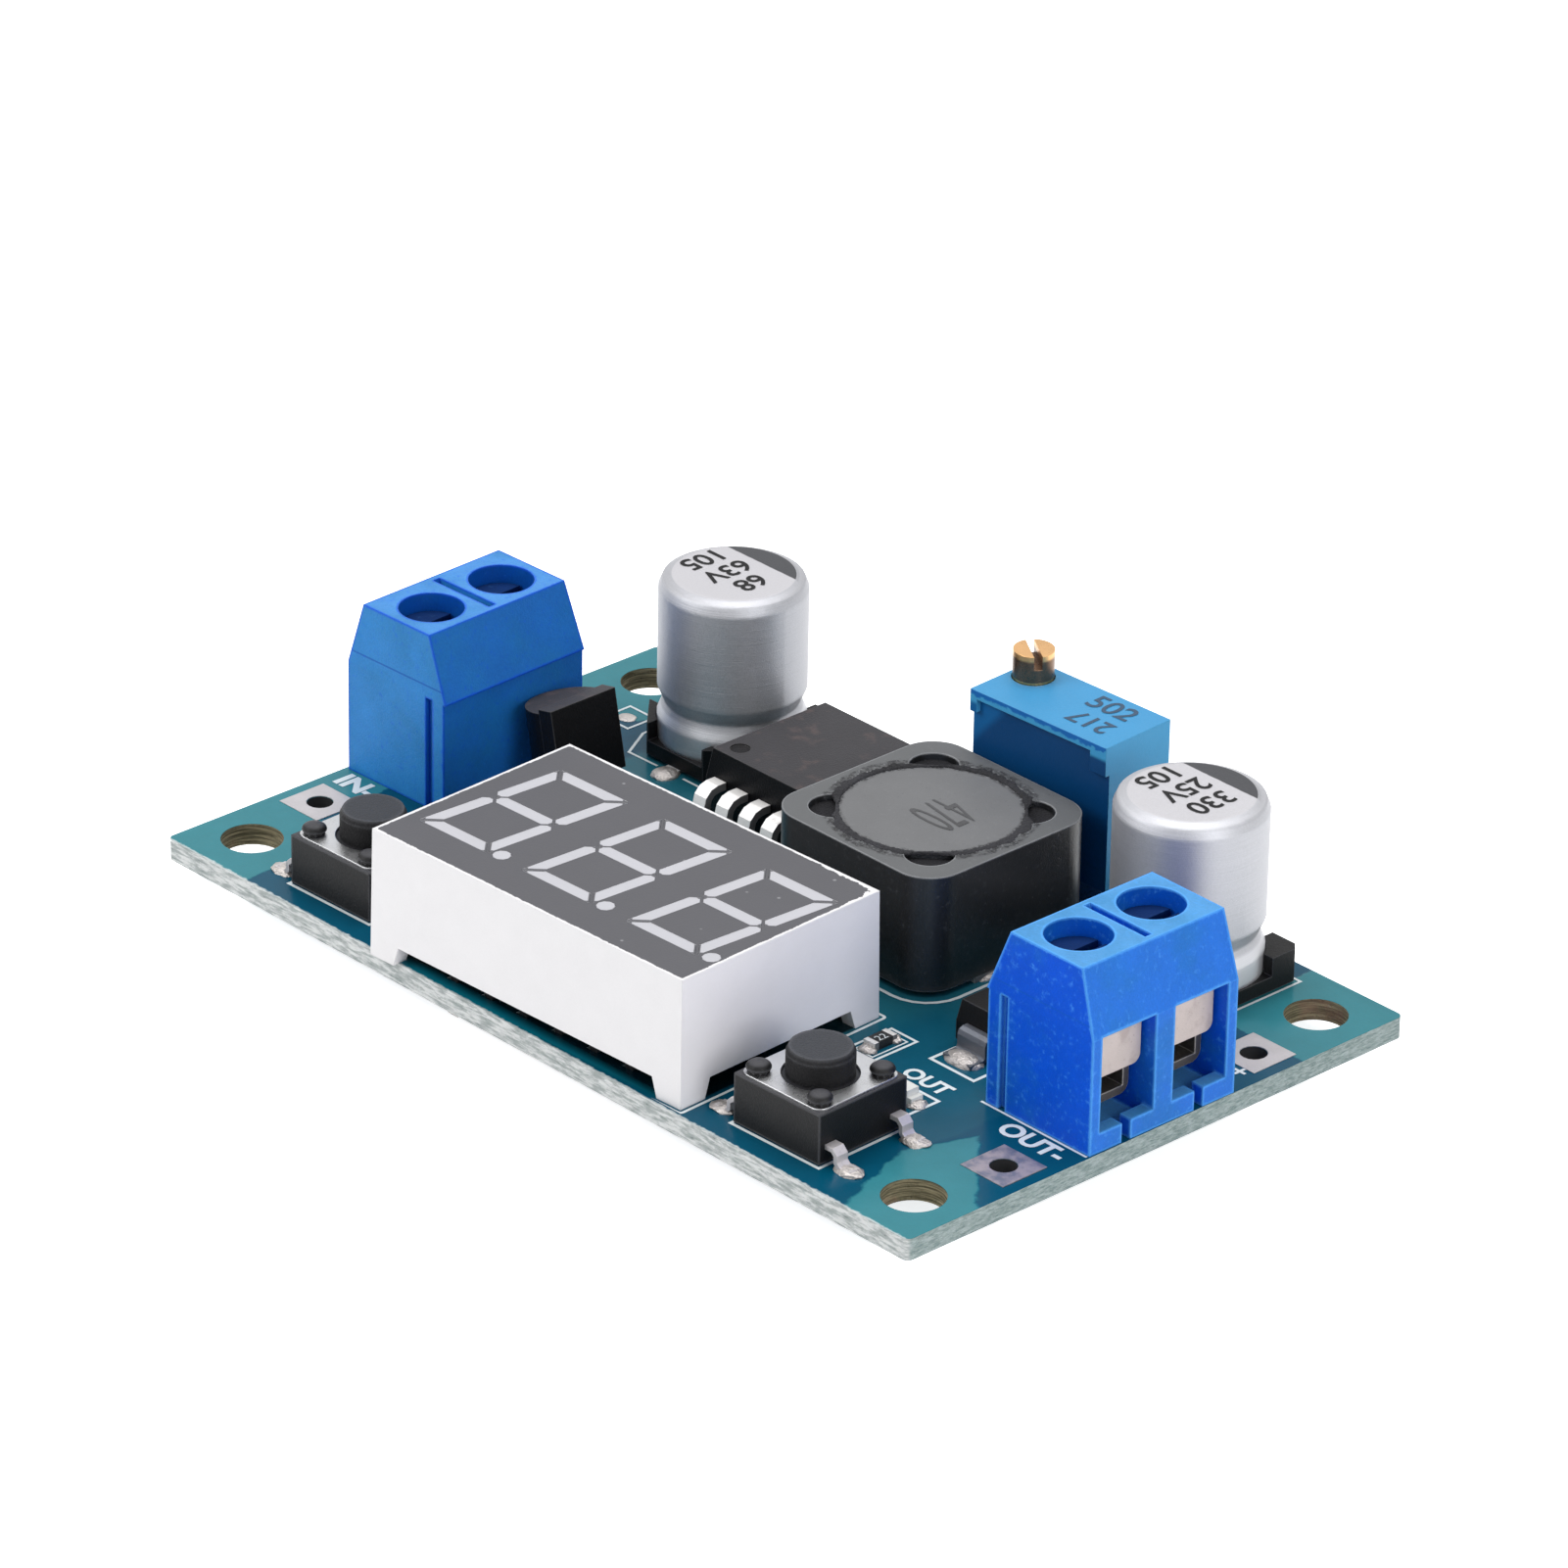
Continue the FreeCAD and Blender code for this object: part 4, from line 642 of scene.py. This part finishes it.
LOOKS = {
    "board": board_look(),
    "input_can": can_look("input_can_metal", INPUT_CAP, 171),
    "output_can": can_look("output_can_metal", OUTPUT_CAP, 178),
    "chip": chip_look("chip_moulding", CHIP_DOT),
    "package": chip_look("package_moulding"),
    "shield": ferrite_look("shield_ferrite", ink(30, 31, 33), ink(84, 86, 88), 5.15, False),
    "drum": ferrite_look("drum_ferrite", ink(60, 61, 62), ink(98, 99, 101), 4.85, True),
    "trimmer": trimmer_look(),
    "display": display_look(),
    # The two terminals are lit and shaded copies of one moulding, each painted with its own light
    "input_blue": blue_look("input_moulding", INPUT, ink(44, 128, 198), ink(27, 103, 184),
                            ink(73, 140, 209), ink(4, 78, 168), ink(10, 82, 214)),
    "output_blue": blue_look("output_moulding", OUTPUT, ink(2, 82, 212), ink(36, 112, 214),
                             ink(78, 148, 207), ink(4, 84, 196), ink(84, 168, 248)),
    "base": base_look(),
    # Pale edges on the black mouldings: partly wear, partly painted highlight
    "black": plastic("black_moulding", ink(9, 9, 11), 0.5, 0.8, 0.08, 0.1, ink(70, 71, 75),
                     specular_ior_level=0.22),
    "plunger": plunger_look(),
    "seal": plastic("trimmer_seal", ink(20, 70, 120), 0.6, 1.0),
    "segment": segment_look(),
    "glue": plastic("dark_glue", ink(34, 34, 38), 0.8, 12.0, 0.1, 0.8, specular_ior_level=0.25),
    "crust": plastic("glue_crust", ink(44, 44, 48), 0.75, 8.0, 0.02, 1.2, specular_ior_level=0.3),
    "tin": tin_look("tinned_lead", ink(238, 236, 234), 0.85, 0.35),
    "leg": tin_look("tinned_leg", ink(202, 197, 198), 0.0),
    "dull": tin_look("dull_lead", ink(104, 108, 116), 0.0, 0.6),
    "shaded": tin_look("shaded_pin", ink(66, 68, 72), 0.0, 0.6),
    "pad": pad_look(),
    "solder": metal("solder", ink(186, 180, 176), 0.32, 5.0, stain=1.3, metallic=0.6),
    "steel": metal("plated_steel", ink(186, 187, 188), 0.36, 0.8, (1, 1, 4)),
    "cage": cage_look(),
    "screw": screw_look(),
    "cover": metal("cover_steel", ink(206, 207, 209), 0.3, 0.6, (4, 1, 1)),
    "apron": apron_look(),
    "brass": brass_look(),
    "copper": metal("winding_copper", ink(184, 104, 60), 0.34, 2.0, (1, 1, 9)),
    "laminate": laminate("carrier_laminate", ink(150, 132, 88)),
    "ceramic": laminate("ceramic_body", ink(140, 118, 92)),
    "resistor": laminate("resistor_glaze", ink(24, 24, 26)),
    "lamp": plastic("lamp_resin", ink(224, 224, 218), 0.4, 0.6),
    "print": plastic("white_print", ink(216, 224, 226), 0.5, 0.6, 0.01, 0.05),
    "ink": plastic("black_print", ink(16, 16, 18), 0.6, 0.6, 0.01, 0.2, specular_ior_level=0.2),
    "blue_ink": plastic("trimmer_print", ink(22, 62, 92), 0.5, 0.6, 0.01, 0.2),
    "etch": plastic("etched_number", ink(62, 62, 64), 0.6, 1.5, 0.01, 0.6),
}


def node_looks():
    """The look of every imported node."""
    looks = {
        "circuit_board": "board", "wire_pads": "pad", "underside_solder": "solder",
        "converter_chip_body": "chip", "converter_chip_slug": "tin",
        "converter_chip_leads": "tin",
        "inductor_shield": "shield", "inductor_drum": "drum", "inductor_winding": "copper",
        "inductor_glue_ring": "glue", "inductor_feet": "tin",
        "trimmer_housing": "trimmer", "trimmer_base": "seal", "trimmer_pins": "tin",
        "trimmer_screw": "brass",
        "diode_body": "black", "diode_leads": "dull",
        "regulator_body": "package", "regulator_leads": "tin",
        "display_housing": "display", "display_segments": "segment",
        "display_carrier_board": "laminate", "display_pins": "shaded",
        "controller_chip_body": "black", "controller_chip_leads": "tin",
        "chip_resistor_bodies": "resistor", "chip_capacitor_bodies": "ceramic",
        "chip_part_ends": "tin", "indicator_lamp": "lamp",
    }
    for end in ("input", "output"):
        looks |= {
            f"{end}_terminal_housing": f"{end}_blue", f"{end}_terminal_contacts": "apron",
            f"{end}_capacitor_can": f"{end}_can", f"{end}_capacitor_base": "black",
            f"{end}_capacitor_feet": "tin",
            f"{end}_clamp_cage_1": "cage", f"{end}_clamp_cage_2": "cage",
            f"{end}_clamp_screw_1": "screw", f"{end}_clamp_screw_2": "screw",
        }
    for hand in ("left", "right"):
        looks |= {
            f"{hand}_switch_base": "base", f"{hand}_switch_cover": "cover",
            f"{hand}_switch_plunger": "plunger", f"{hand}_switch_dome": "steel",
            f"{hand}_switch_legs": "leg",
        }
    return looks


def dress():
    """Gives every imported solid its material."""
    looks = node_looks()
    for name, item in nodes.items():
        item.data.materials.clear()
        item.data.materials.append(LOOKS[looks[name]].material)


# Added pieces


def piece(name, mesh, look, body="board", smooth=30):
    """Makes a mesh into a piece that rides a body and takes a look's material."""
    data = bpy.data.meshes.new(name)
    mesh.to_mesh(data)
    mesh.free()
    item = bpy.data.objects.new(name, data)
    bpy.context.scene.collection.objects.link(item)
    data.materials.append(LOOKS[look].material)
    if smooth:
        data.shade_smooth()
        data.set_sharp_from_angle(angle=math.radians(smooth))
    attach(item, body)


def stroke(mesh, seat, points, width, closed=False):
    """A printed line along points, with mitred corners, standing a hair above the board."""
    spots = [Vector(point) for point in points]
    count = len(spots)
    pairs = []
    for index, spot in enumerate(spots):
        before = spots[index - 1] if closed or index else None
        after = spots[(index + 1) % count] if closed or index < count - 1 else None
        into = (spot - before).normalized() if before is not None else (after - spot).normalized()
        out = (after - spot).normalized() if after is not None else into
        along = (into + out).normalized()
        across = Vector((-along.y, along.x)) * (width / 2 / max(along.dot(into), 0.4))
        pairs.append([mesh.verts.new(seat.out(*(spot + side * across), LINE_RISE))
                      for side in SIDES])
    for index in range(count if closed else count - 1):
        one, two = pairs[index], pairs[(index + 1) % count]
        mesh.faces.new((one[0], two[0], two[1], one[1]))


def corners(half_u, half_v, radius=0.0, u=0.0, v=0.0):
    """The outline of a rectangle with round corners, anticlockwise."""
    quarters = ((1, 1), (-1, 1), (-1, -1), (1, -1))
    if not radius:
        return [(u + half_u * a, v + half_v * b) for a, b in quarters]
    points, steps = [], 6
    for quarter, (a, b) in enumerate(quarters):
        for step in range(steps + 1):
            angle = math.radians(90 * (quarter + step / steps))
            points.append((u + a * (half_u - radius) + radius * math.cos(angle),
                           v + b * (half_v - radius) + radius * math.sin(angle)))
    return points


def silkscreen():
    """The white outlines printed round the components."""
    mesh = bmesh.new()
    sense_u, sense_v = SENSE_PLACE
    outlines = [
        (COIL, corners(6.55, 6.55, 2.4), 0.22),
        (BOARD, corners(0.92, 1.58, 0, sense_u, sense_v), 0.17),
        (BOARD, corners(0.62, 1.2, 0, sense_u, sense_v), 0.1),
        (BOARD, corners(1.3, 1.05, 0, 17.7, -7.65), 0.19),
        (BOARD, corners(1.55, 4.45, 0, 17.1, 0.6), 0.2),
        (DISPLAY, corners(11.5, 7.25, 0.2), 0.18),
        (LEFT_SWITCH, corners(3.1, 3.1), 0.2),
        (RIGHT_SWITCH, corners(3.1, 3.1), 0.2),
        (BOARD, corners(0.95, 0.95, 0, -22.55, 10.2), 0.16),
        (TRIMMER, corners(5.0, 2.65), 0.15),
    ]
    cap_left = [(-1.0, -4.4), (-3.2, -4.45), (-4.35, -2.4), (-4.35, 4.15), (-1.0, 4.15)]
    cap_right = [(1.0, -4.4), (2.7, -4.4), (4.15, -2.9), (4.15, 4.15), (1.0, 4.15)]
    lines = [
        (OUTPUT, [(-3.8, -5.12), (3.7, -5.12)], 0.15),
        (CHIP, [(-4.9, -5.0), (-4.9, 7.5), (4.9, 7.5), (4.9, -5.0)], 0.18),
        *((seat, points, 0.16) for seat in CAPS for points in (cap_left, cap_right)),
    ]
    for seat, points, width in outlines:
        stroke(mesh, seat, points, width, closed=True)
    for seat, points, width in lines:
        stroke(mesh, seat, points, width)
    for side in SIDES:
        whole = mesh.verts[:] + mesh.edges[:] + mesh.faces[:]
        edge = Vector((0, side * PRINT_EDGE, 0)) * MM
        bmesh.ops.bisect_plane(mesh, geom=whole, plane_co=edge, plane_no=(0, side, 0),
                               clear_outer=True)
    piece("silkscreen", mesh, "print", smooth=0)


def label(name, text, seat, place, height, turn=0, z=0.0, look="print",
          slot="display_moulding", squeeze=1.0, bold=0.03):
    """Printed letters of a cap height, made into a mesh lying on a face."""
    size_per_cap = 1.38
    curve = bpy.data.curves.new(name, "FONT")
    curve.body = text
    curve.size = height * size_per_cap
    curve.align_x = "CENTER"
    curve.align_y = "CENTER"
    curve.offset = bold
    curve.resolution_u = 4
    words = bpy.data.objects.new(name, curve)
    data = bpy.data.meshes.new_from_object(words)
    bpy.data.objects.remove(words)
    mesh = bmesh.new()
    mesh.from_mesh(data)
    turned = Matrix.Rotation(math.radians(turn), 4, "Z") @ Matrix.Diagonal((squeeze, 1, 1, 1))
    for vert in mesh.verts:
        spot = turned @ vert.co
        vert.co = seat.out(place[0] + spot.x, place[1] + spot.y, z + LETTER_RISE)
    piece(name, mesh, look, smooth=0)


def labels():
    """Generic terminal words on the board, and plain numbers on the components."""
    label("label_out_minus", "OUT-", BOARD, (25.0, -6.0), 1.2, squeeze=1.05, bold=0.06)
    label("label_in_minus", "IN-", BOARD, (-25.94, -6.05), 1.3, squeeze=1.1, bold=0.08)
    label("label_out", "OUT", BOARD, (17.15, -5.65), 1.02, squeeze=1.02, bold=0.05)
    label("label_plus", "+", BOARD, (26.67, 6.75), 1.1)
    dark = {"turn": -90, "look": "ink", "slot": "black_moulding", "bold": 0.025}
    cans = (("input", INPUT_CAP, INPUT_CAN_TOP, ("68", "63V", "105")),
            ("output", OUTPUT_CAP, OUTPUT_CAN_TOP, ("330", "25V", "105")))
    for end, seat, top, marks in cans:
        for line, mark in enumerate(marks):
            place = (1.35 - 1.85 * line, -0.1)
            label(f"{end}_can_line_{line + 1}", mark, seat, place, 1.35, z=top, **dark)
    height = TRIMMER_TOP - BOARD_TOP
    blue = {"z": height, "look": "blue_ink", "slot": "black_moulding", "bold": 0.02}
    label("trimmer_number", "502", TRIMMER, (1.9, 1.1), 1.45, **blue)
    label("trimmer_count", "217", TRIMMER, (2.2, -0.75), 1.3, 180, **blue)
    label("coil_number", "470", COIL, (0.6, 0.1), 3.3, -90, DRUM_TOP, "etch", "black_moulding",
          squeeze=0.38, bold=-0.02)
    label("sense_number", "22", BOARD, SENSE_PLACE, 0.5, 90, SENSE_TOP, bold=0.0)


def blob(mesh, seat, u, v, half_u, half_v, height, lumps=0.12):
    """A domed lump of solder on the board."""
    lump_scale, skirt, sunk = 1.7, 0.25, 0.02
    made = bmesh.ops.create_icosphere(mesh, subdivisions=3, radius=1.0)
    shift = Vector((random.uniform(0, 50), random.uniform(0, 50), 0))
    for vert in made["verts"]:
        ball = vert.co
        swell = 1 + lumps * noise.noise(ball * lump_scale + shift)
        spread = swell * (1 + skirt * max(0.0, -ball.z))
        z = max(ball.z, -sunk) * height * swell
        vert.co = seat.out(u + ball.x * half_u * spread, v + ball.y * half_v * spread, z)


def solder_joints():
    """Solder at the feet of the components. The order of the lumps sets their random shapes."""
    mesh = bmesh.new()
    for step in range(-2, 3):
        blob(mesh, CHIP, step * 1.7, -6.5, 0.62, 0.95, 0.42)
    for seat in SWITCHES:
        for across in SIDES:
            for along in SIDES:
                blob(mesh, seat, across * 4.35, along * 2.25, 0.85, 0.62, 0.3, 0.3)
    for side in SIDES:
        blob(mesh, DIODE, 0, side * 3.35, 1.2, 0.8, 0.4)
        blob(mesh, COIL, side * 5.9, 0, 0.6, 2.2, 0.3)
        blob(mesh, BOARD, 12.85, SENSE_PLACE[1] + side * 0.85, 0.55, 0.4, 0.28, 0.3)
        blob(mesh, BOARD, 17.75 + side * 0.85, -7.65, 0.45, 0.55, 0.3, 0.3)
    for seat in CAPS:
        for side in SIDES:
            blob(mesh, seat, 0, side * 4.75, 0.75, 0.8, 0.32)
    blob(mesh, BOARD, -22.6, 10.1, 0.55, 0.5, 0.08)
    piece("solder_joints", mesh, "solder")


def rivet_caps():
    """The melted heads of the four pegs on each push switch."""
    mesh = bmesh.new()
    for seat in SWITCHES:
        for across in SIDES:
            for along in SIDES:
                made = bmesh.ops.create_uvsphere(mesh, u_segments=20, v_segments=12,
                                                 radius=PEG_RADIUS)
                for vert in made["verts"]:
                    u, v, rise = vert.co
                    vert.co = seat.out(across * PEG_PLACE + u, along * PEG_PLACE + v,
                                       PEG_TOP + max(rise, -0.1) * PEG_SQUASH)
    piece("rivet_caps", mesh, "base")


def glue_crust():
    """Crumbled glue that swells out of the gap between the inductor's drum and shield."""
    mesh = bmesh.new()
    around, across, notch_angle = 300, 8, 14
    rows = []
    for step in range(around):
        angle = math.radians(360 * step / around)
        ray = Vector((math.cos(angle), math.sin(angle), 0))
        # The shield is notched at its four corners, where the crust keeps to the drum
        notch = max(0.0, 1 - abs(abs(math.degrees(angle)) % 90 - 45) / notch_angle)
        inner = CRUST_INNER - 0.1 * (noise.noise(ray * 7) + 0.8 * noise.noise(ray * 43))
        waves = noise.noise(ray * 6 + Vector((7, 0, 0))) + 0.5 * noise.noise(ray * 41)
        outer = CRUST_OUTER + 0.3 * waves
        outer -= (outer - CRUST_NOTCH) * min(1.0, notch * 1.6)
        row = []
        for place in range(across + 1):
            share = place / across
            reach = inner + (outer - inner) * share
            swell = CRUST_RISE * (1 - (2 * share - 1) ** 2) ** 0.5
            lump = 1 + 1.1 * noise.noise(ray * reach * 4.5) + 0.7 * noise.noise(ray * reach * 11)
            rise = -CRUST_RISE if place in (0, across) else swell * max(0.1, lump)
            row.append(mesh.verts.new(COIL.out(reach * ray.x, reach * ray.y, CRUST_FOOT + rise)))
        rows.append(row)
    for one, two in zip(rows, rows[1:] + rows[:1]):
        for place in range(across):
            mesh.faces.new((one[place], one[place + 1], two[place + 1], two[place]))
        mesh.faces.new((one[across], one[0], two[0], two[across]))
    bmesh.ops.recalc_face_normals(mesh, faces=mesh.faces)
    piece("glue_crust", mesh, "crust", smooth=40)


# Light, floor and camera

KEY_LAMP = ("key", (-170, -260, 240), (220, 160), 0.68)  # name, place, size, watts
OVERHEAD_LAMP = ("overhead", (-40, 60, 330), (260, 220), 0.7)
FILL_LAMP = ("fill", (320, -60, 150), (160, 160), 0.42)
FLOOR_TOP, FLOOR_HALF = -1.42, 1200  # just under the lowest solder
SKY_LIGHT, FLOOR_GLOW = 0.42, 0.8

# From a fit of the part's known edges to the photo
CAMERA_AZIMUTH, CAMERA_ELEVATION, CAMERA_ROLL = 46.68, 27.03, 1.03  # degrees
CAMERA_TARGET, CAMERA_DISTANCE, CAMERA_LENS = (-13.083, 12.759, 0), 487.214, 210.72


def lamp(name, place, size, power):
    """A rectangular lamp that shines on the middle of the part."""
    data = bpy.data.lights.new(name, "AREA")
    data.shape = "RECTANGLE"
    data.size, data.size_y = (side * MM for side in size)
    data.energy = power
    item = bpy.data.objects.new(name, data)
    bpy.context.scene.collection.objects.link(item)
    item.location = Vector(place) * MM
    item.rotation_euler = (-Vector(place)).to_track_quat("-Z", "Y").to_euler()


def whiten(tree, seen, unseen):
    """A strength that is seen for the camera, gloss and glass, and unseen for other rays."""
    path = tree.nodes.new("ShaderNodeLightPath")
    total = path.outputs["Is Camera Ray"]
    for ray in ("Is Glossy Ray", "Is Transmission Ray"):
        most = tree.nodes.new("ShaderNodeMath")
        most.operation = "MAXIMUM"
        tree.links.new(total, most.inputs[0])
        tree.links.new(path.outputs[ray], most.inputs[1])
        total = most.outputs[0]
    blend = tree.nodes.new("ShaderNodeMapRange")
    blend.inputs["To Min"].default_value = unseen
    blend.inputs["To Max"].default_value = seen
    tree.links.new(total, blend.inputs["Value"])
    return blend.outputs[0]


def studio():
    """A white room with three soft lamps."""
    world = bpy.data.worlds.new("studio")
    bpy.context.scene.world = world
    world.use_nodes = True
    back = world.node_tree.nodes["Background"]
    back.inputs["Color"].default_value = (1, 1, 1, 1)
    strength = whiten(world.node_tree, 1.0, SKY_LIGHT)
    world.node_tree.links.new(strength, back.inputs["Strength"])
    for settings in (KEY_LAMP, OVERHEAD_LAMP, FILL_LAMP):
        lamp(*settings)


def lay_floor():
    """A pale floor just under the part, which glows white for the camera only."""
    mesh = bmesh.new()
    bmesh.ops.create_grid(mesh, x_segments=2, y_segments=2, size=FLOOR_HALF * MM)
    bmesh.ops.translate(mesh, verts=mesh.verts, vec=(0, 0, FLOOR_TOP * MM))
    data = bpy.data.meshes.new("floor")
    mesh.to_mesh(data)
    mesh.free()
    floor = bpy.data.objects.new("floor", data)
    bpy.context.scene.collection.objects.link(floor)
    paint = bpy.data.materials.new("pale_floor")
    paint.use_nodes = True
    shader = paint.node_tree.nodes["Principled BSDF"]
    shader.inputs["Base Color"].default_value = (0.82, 0.82, 0.82, 1)
    shader.inputs["Roughness"].default_value = 0.7
    shader.inputs["Emission Color"].default_value = (1, 1, 1, 1)
    glow = whiten(paint.node_tree, FLOOR_GLOW, 0.0)
    paint.node_tree.links.new(glow, shader.inputs["Emission Strength"])
    data.materials.append(paint)


def camera():
    """The photo's view."""
    azimuth, elevation, roll = (math.radians(angle) for angle in
                                (CAMERA_AZIMUTH, CAMERA_ELEVATION, CAMERA_ROLL))
    away = Vector((math.sin(azimuth) * math.cos(elevation),
                   -math.cos(azimuth) * math.cos(elevation), math.sin(elevation)))
    right = (-away).cross(Vector((0, 0, 1))).normalized()
    up = right.cross(-away)
    side = right * math.cos(roll) + up * math.sin(roll)
    top = up * math.cos(roll) - right * math.sin(roll)
    place = (Vector(CAMERA_TARGET) + away * CAMERA_DISTANCE) * MM
    data = bpy.data.cameras.new("camera")
    data.sensor_width = 36
    data.lens = CAMERA_LENS
    data.clip_start = 0.01
    item = bpy.data.objects.new("camera", data)
    bpy.context.scene.collection.objects.link(item)
    axes = Matrix((side, top, away)).transposed().to_4x4()
    item.matrix_world = Matrix.Translation(place) @ axes
    bpy.context.scene.camera = item


dress()
silkscreen()
labels()
solder_joints()
rivet_caps()
glue_crust()
studio()
lay_floor()
camera()
bpy.context.scene.view_settings.view_transform = "Standard"
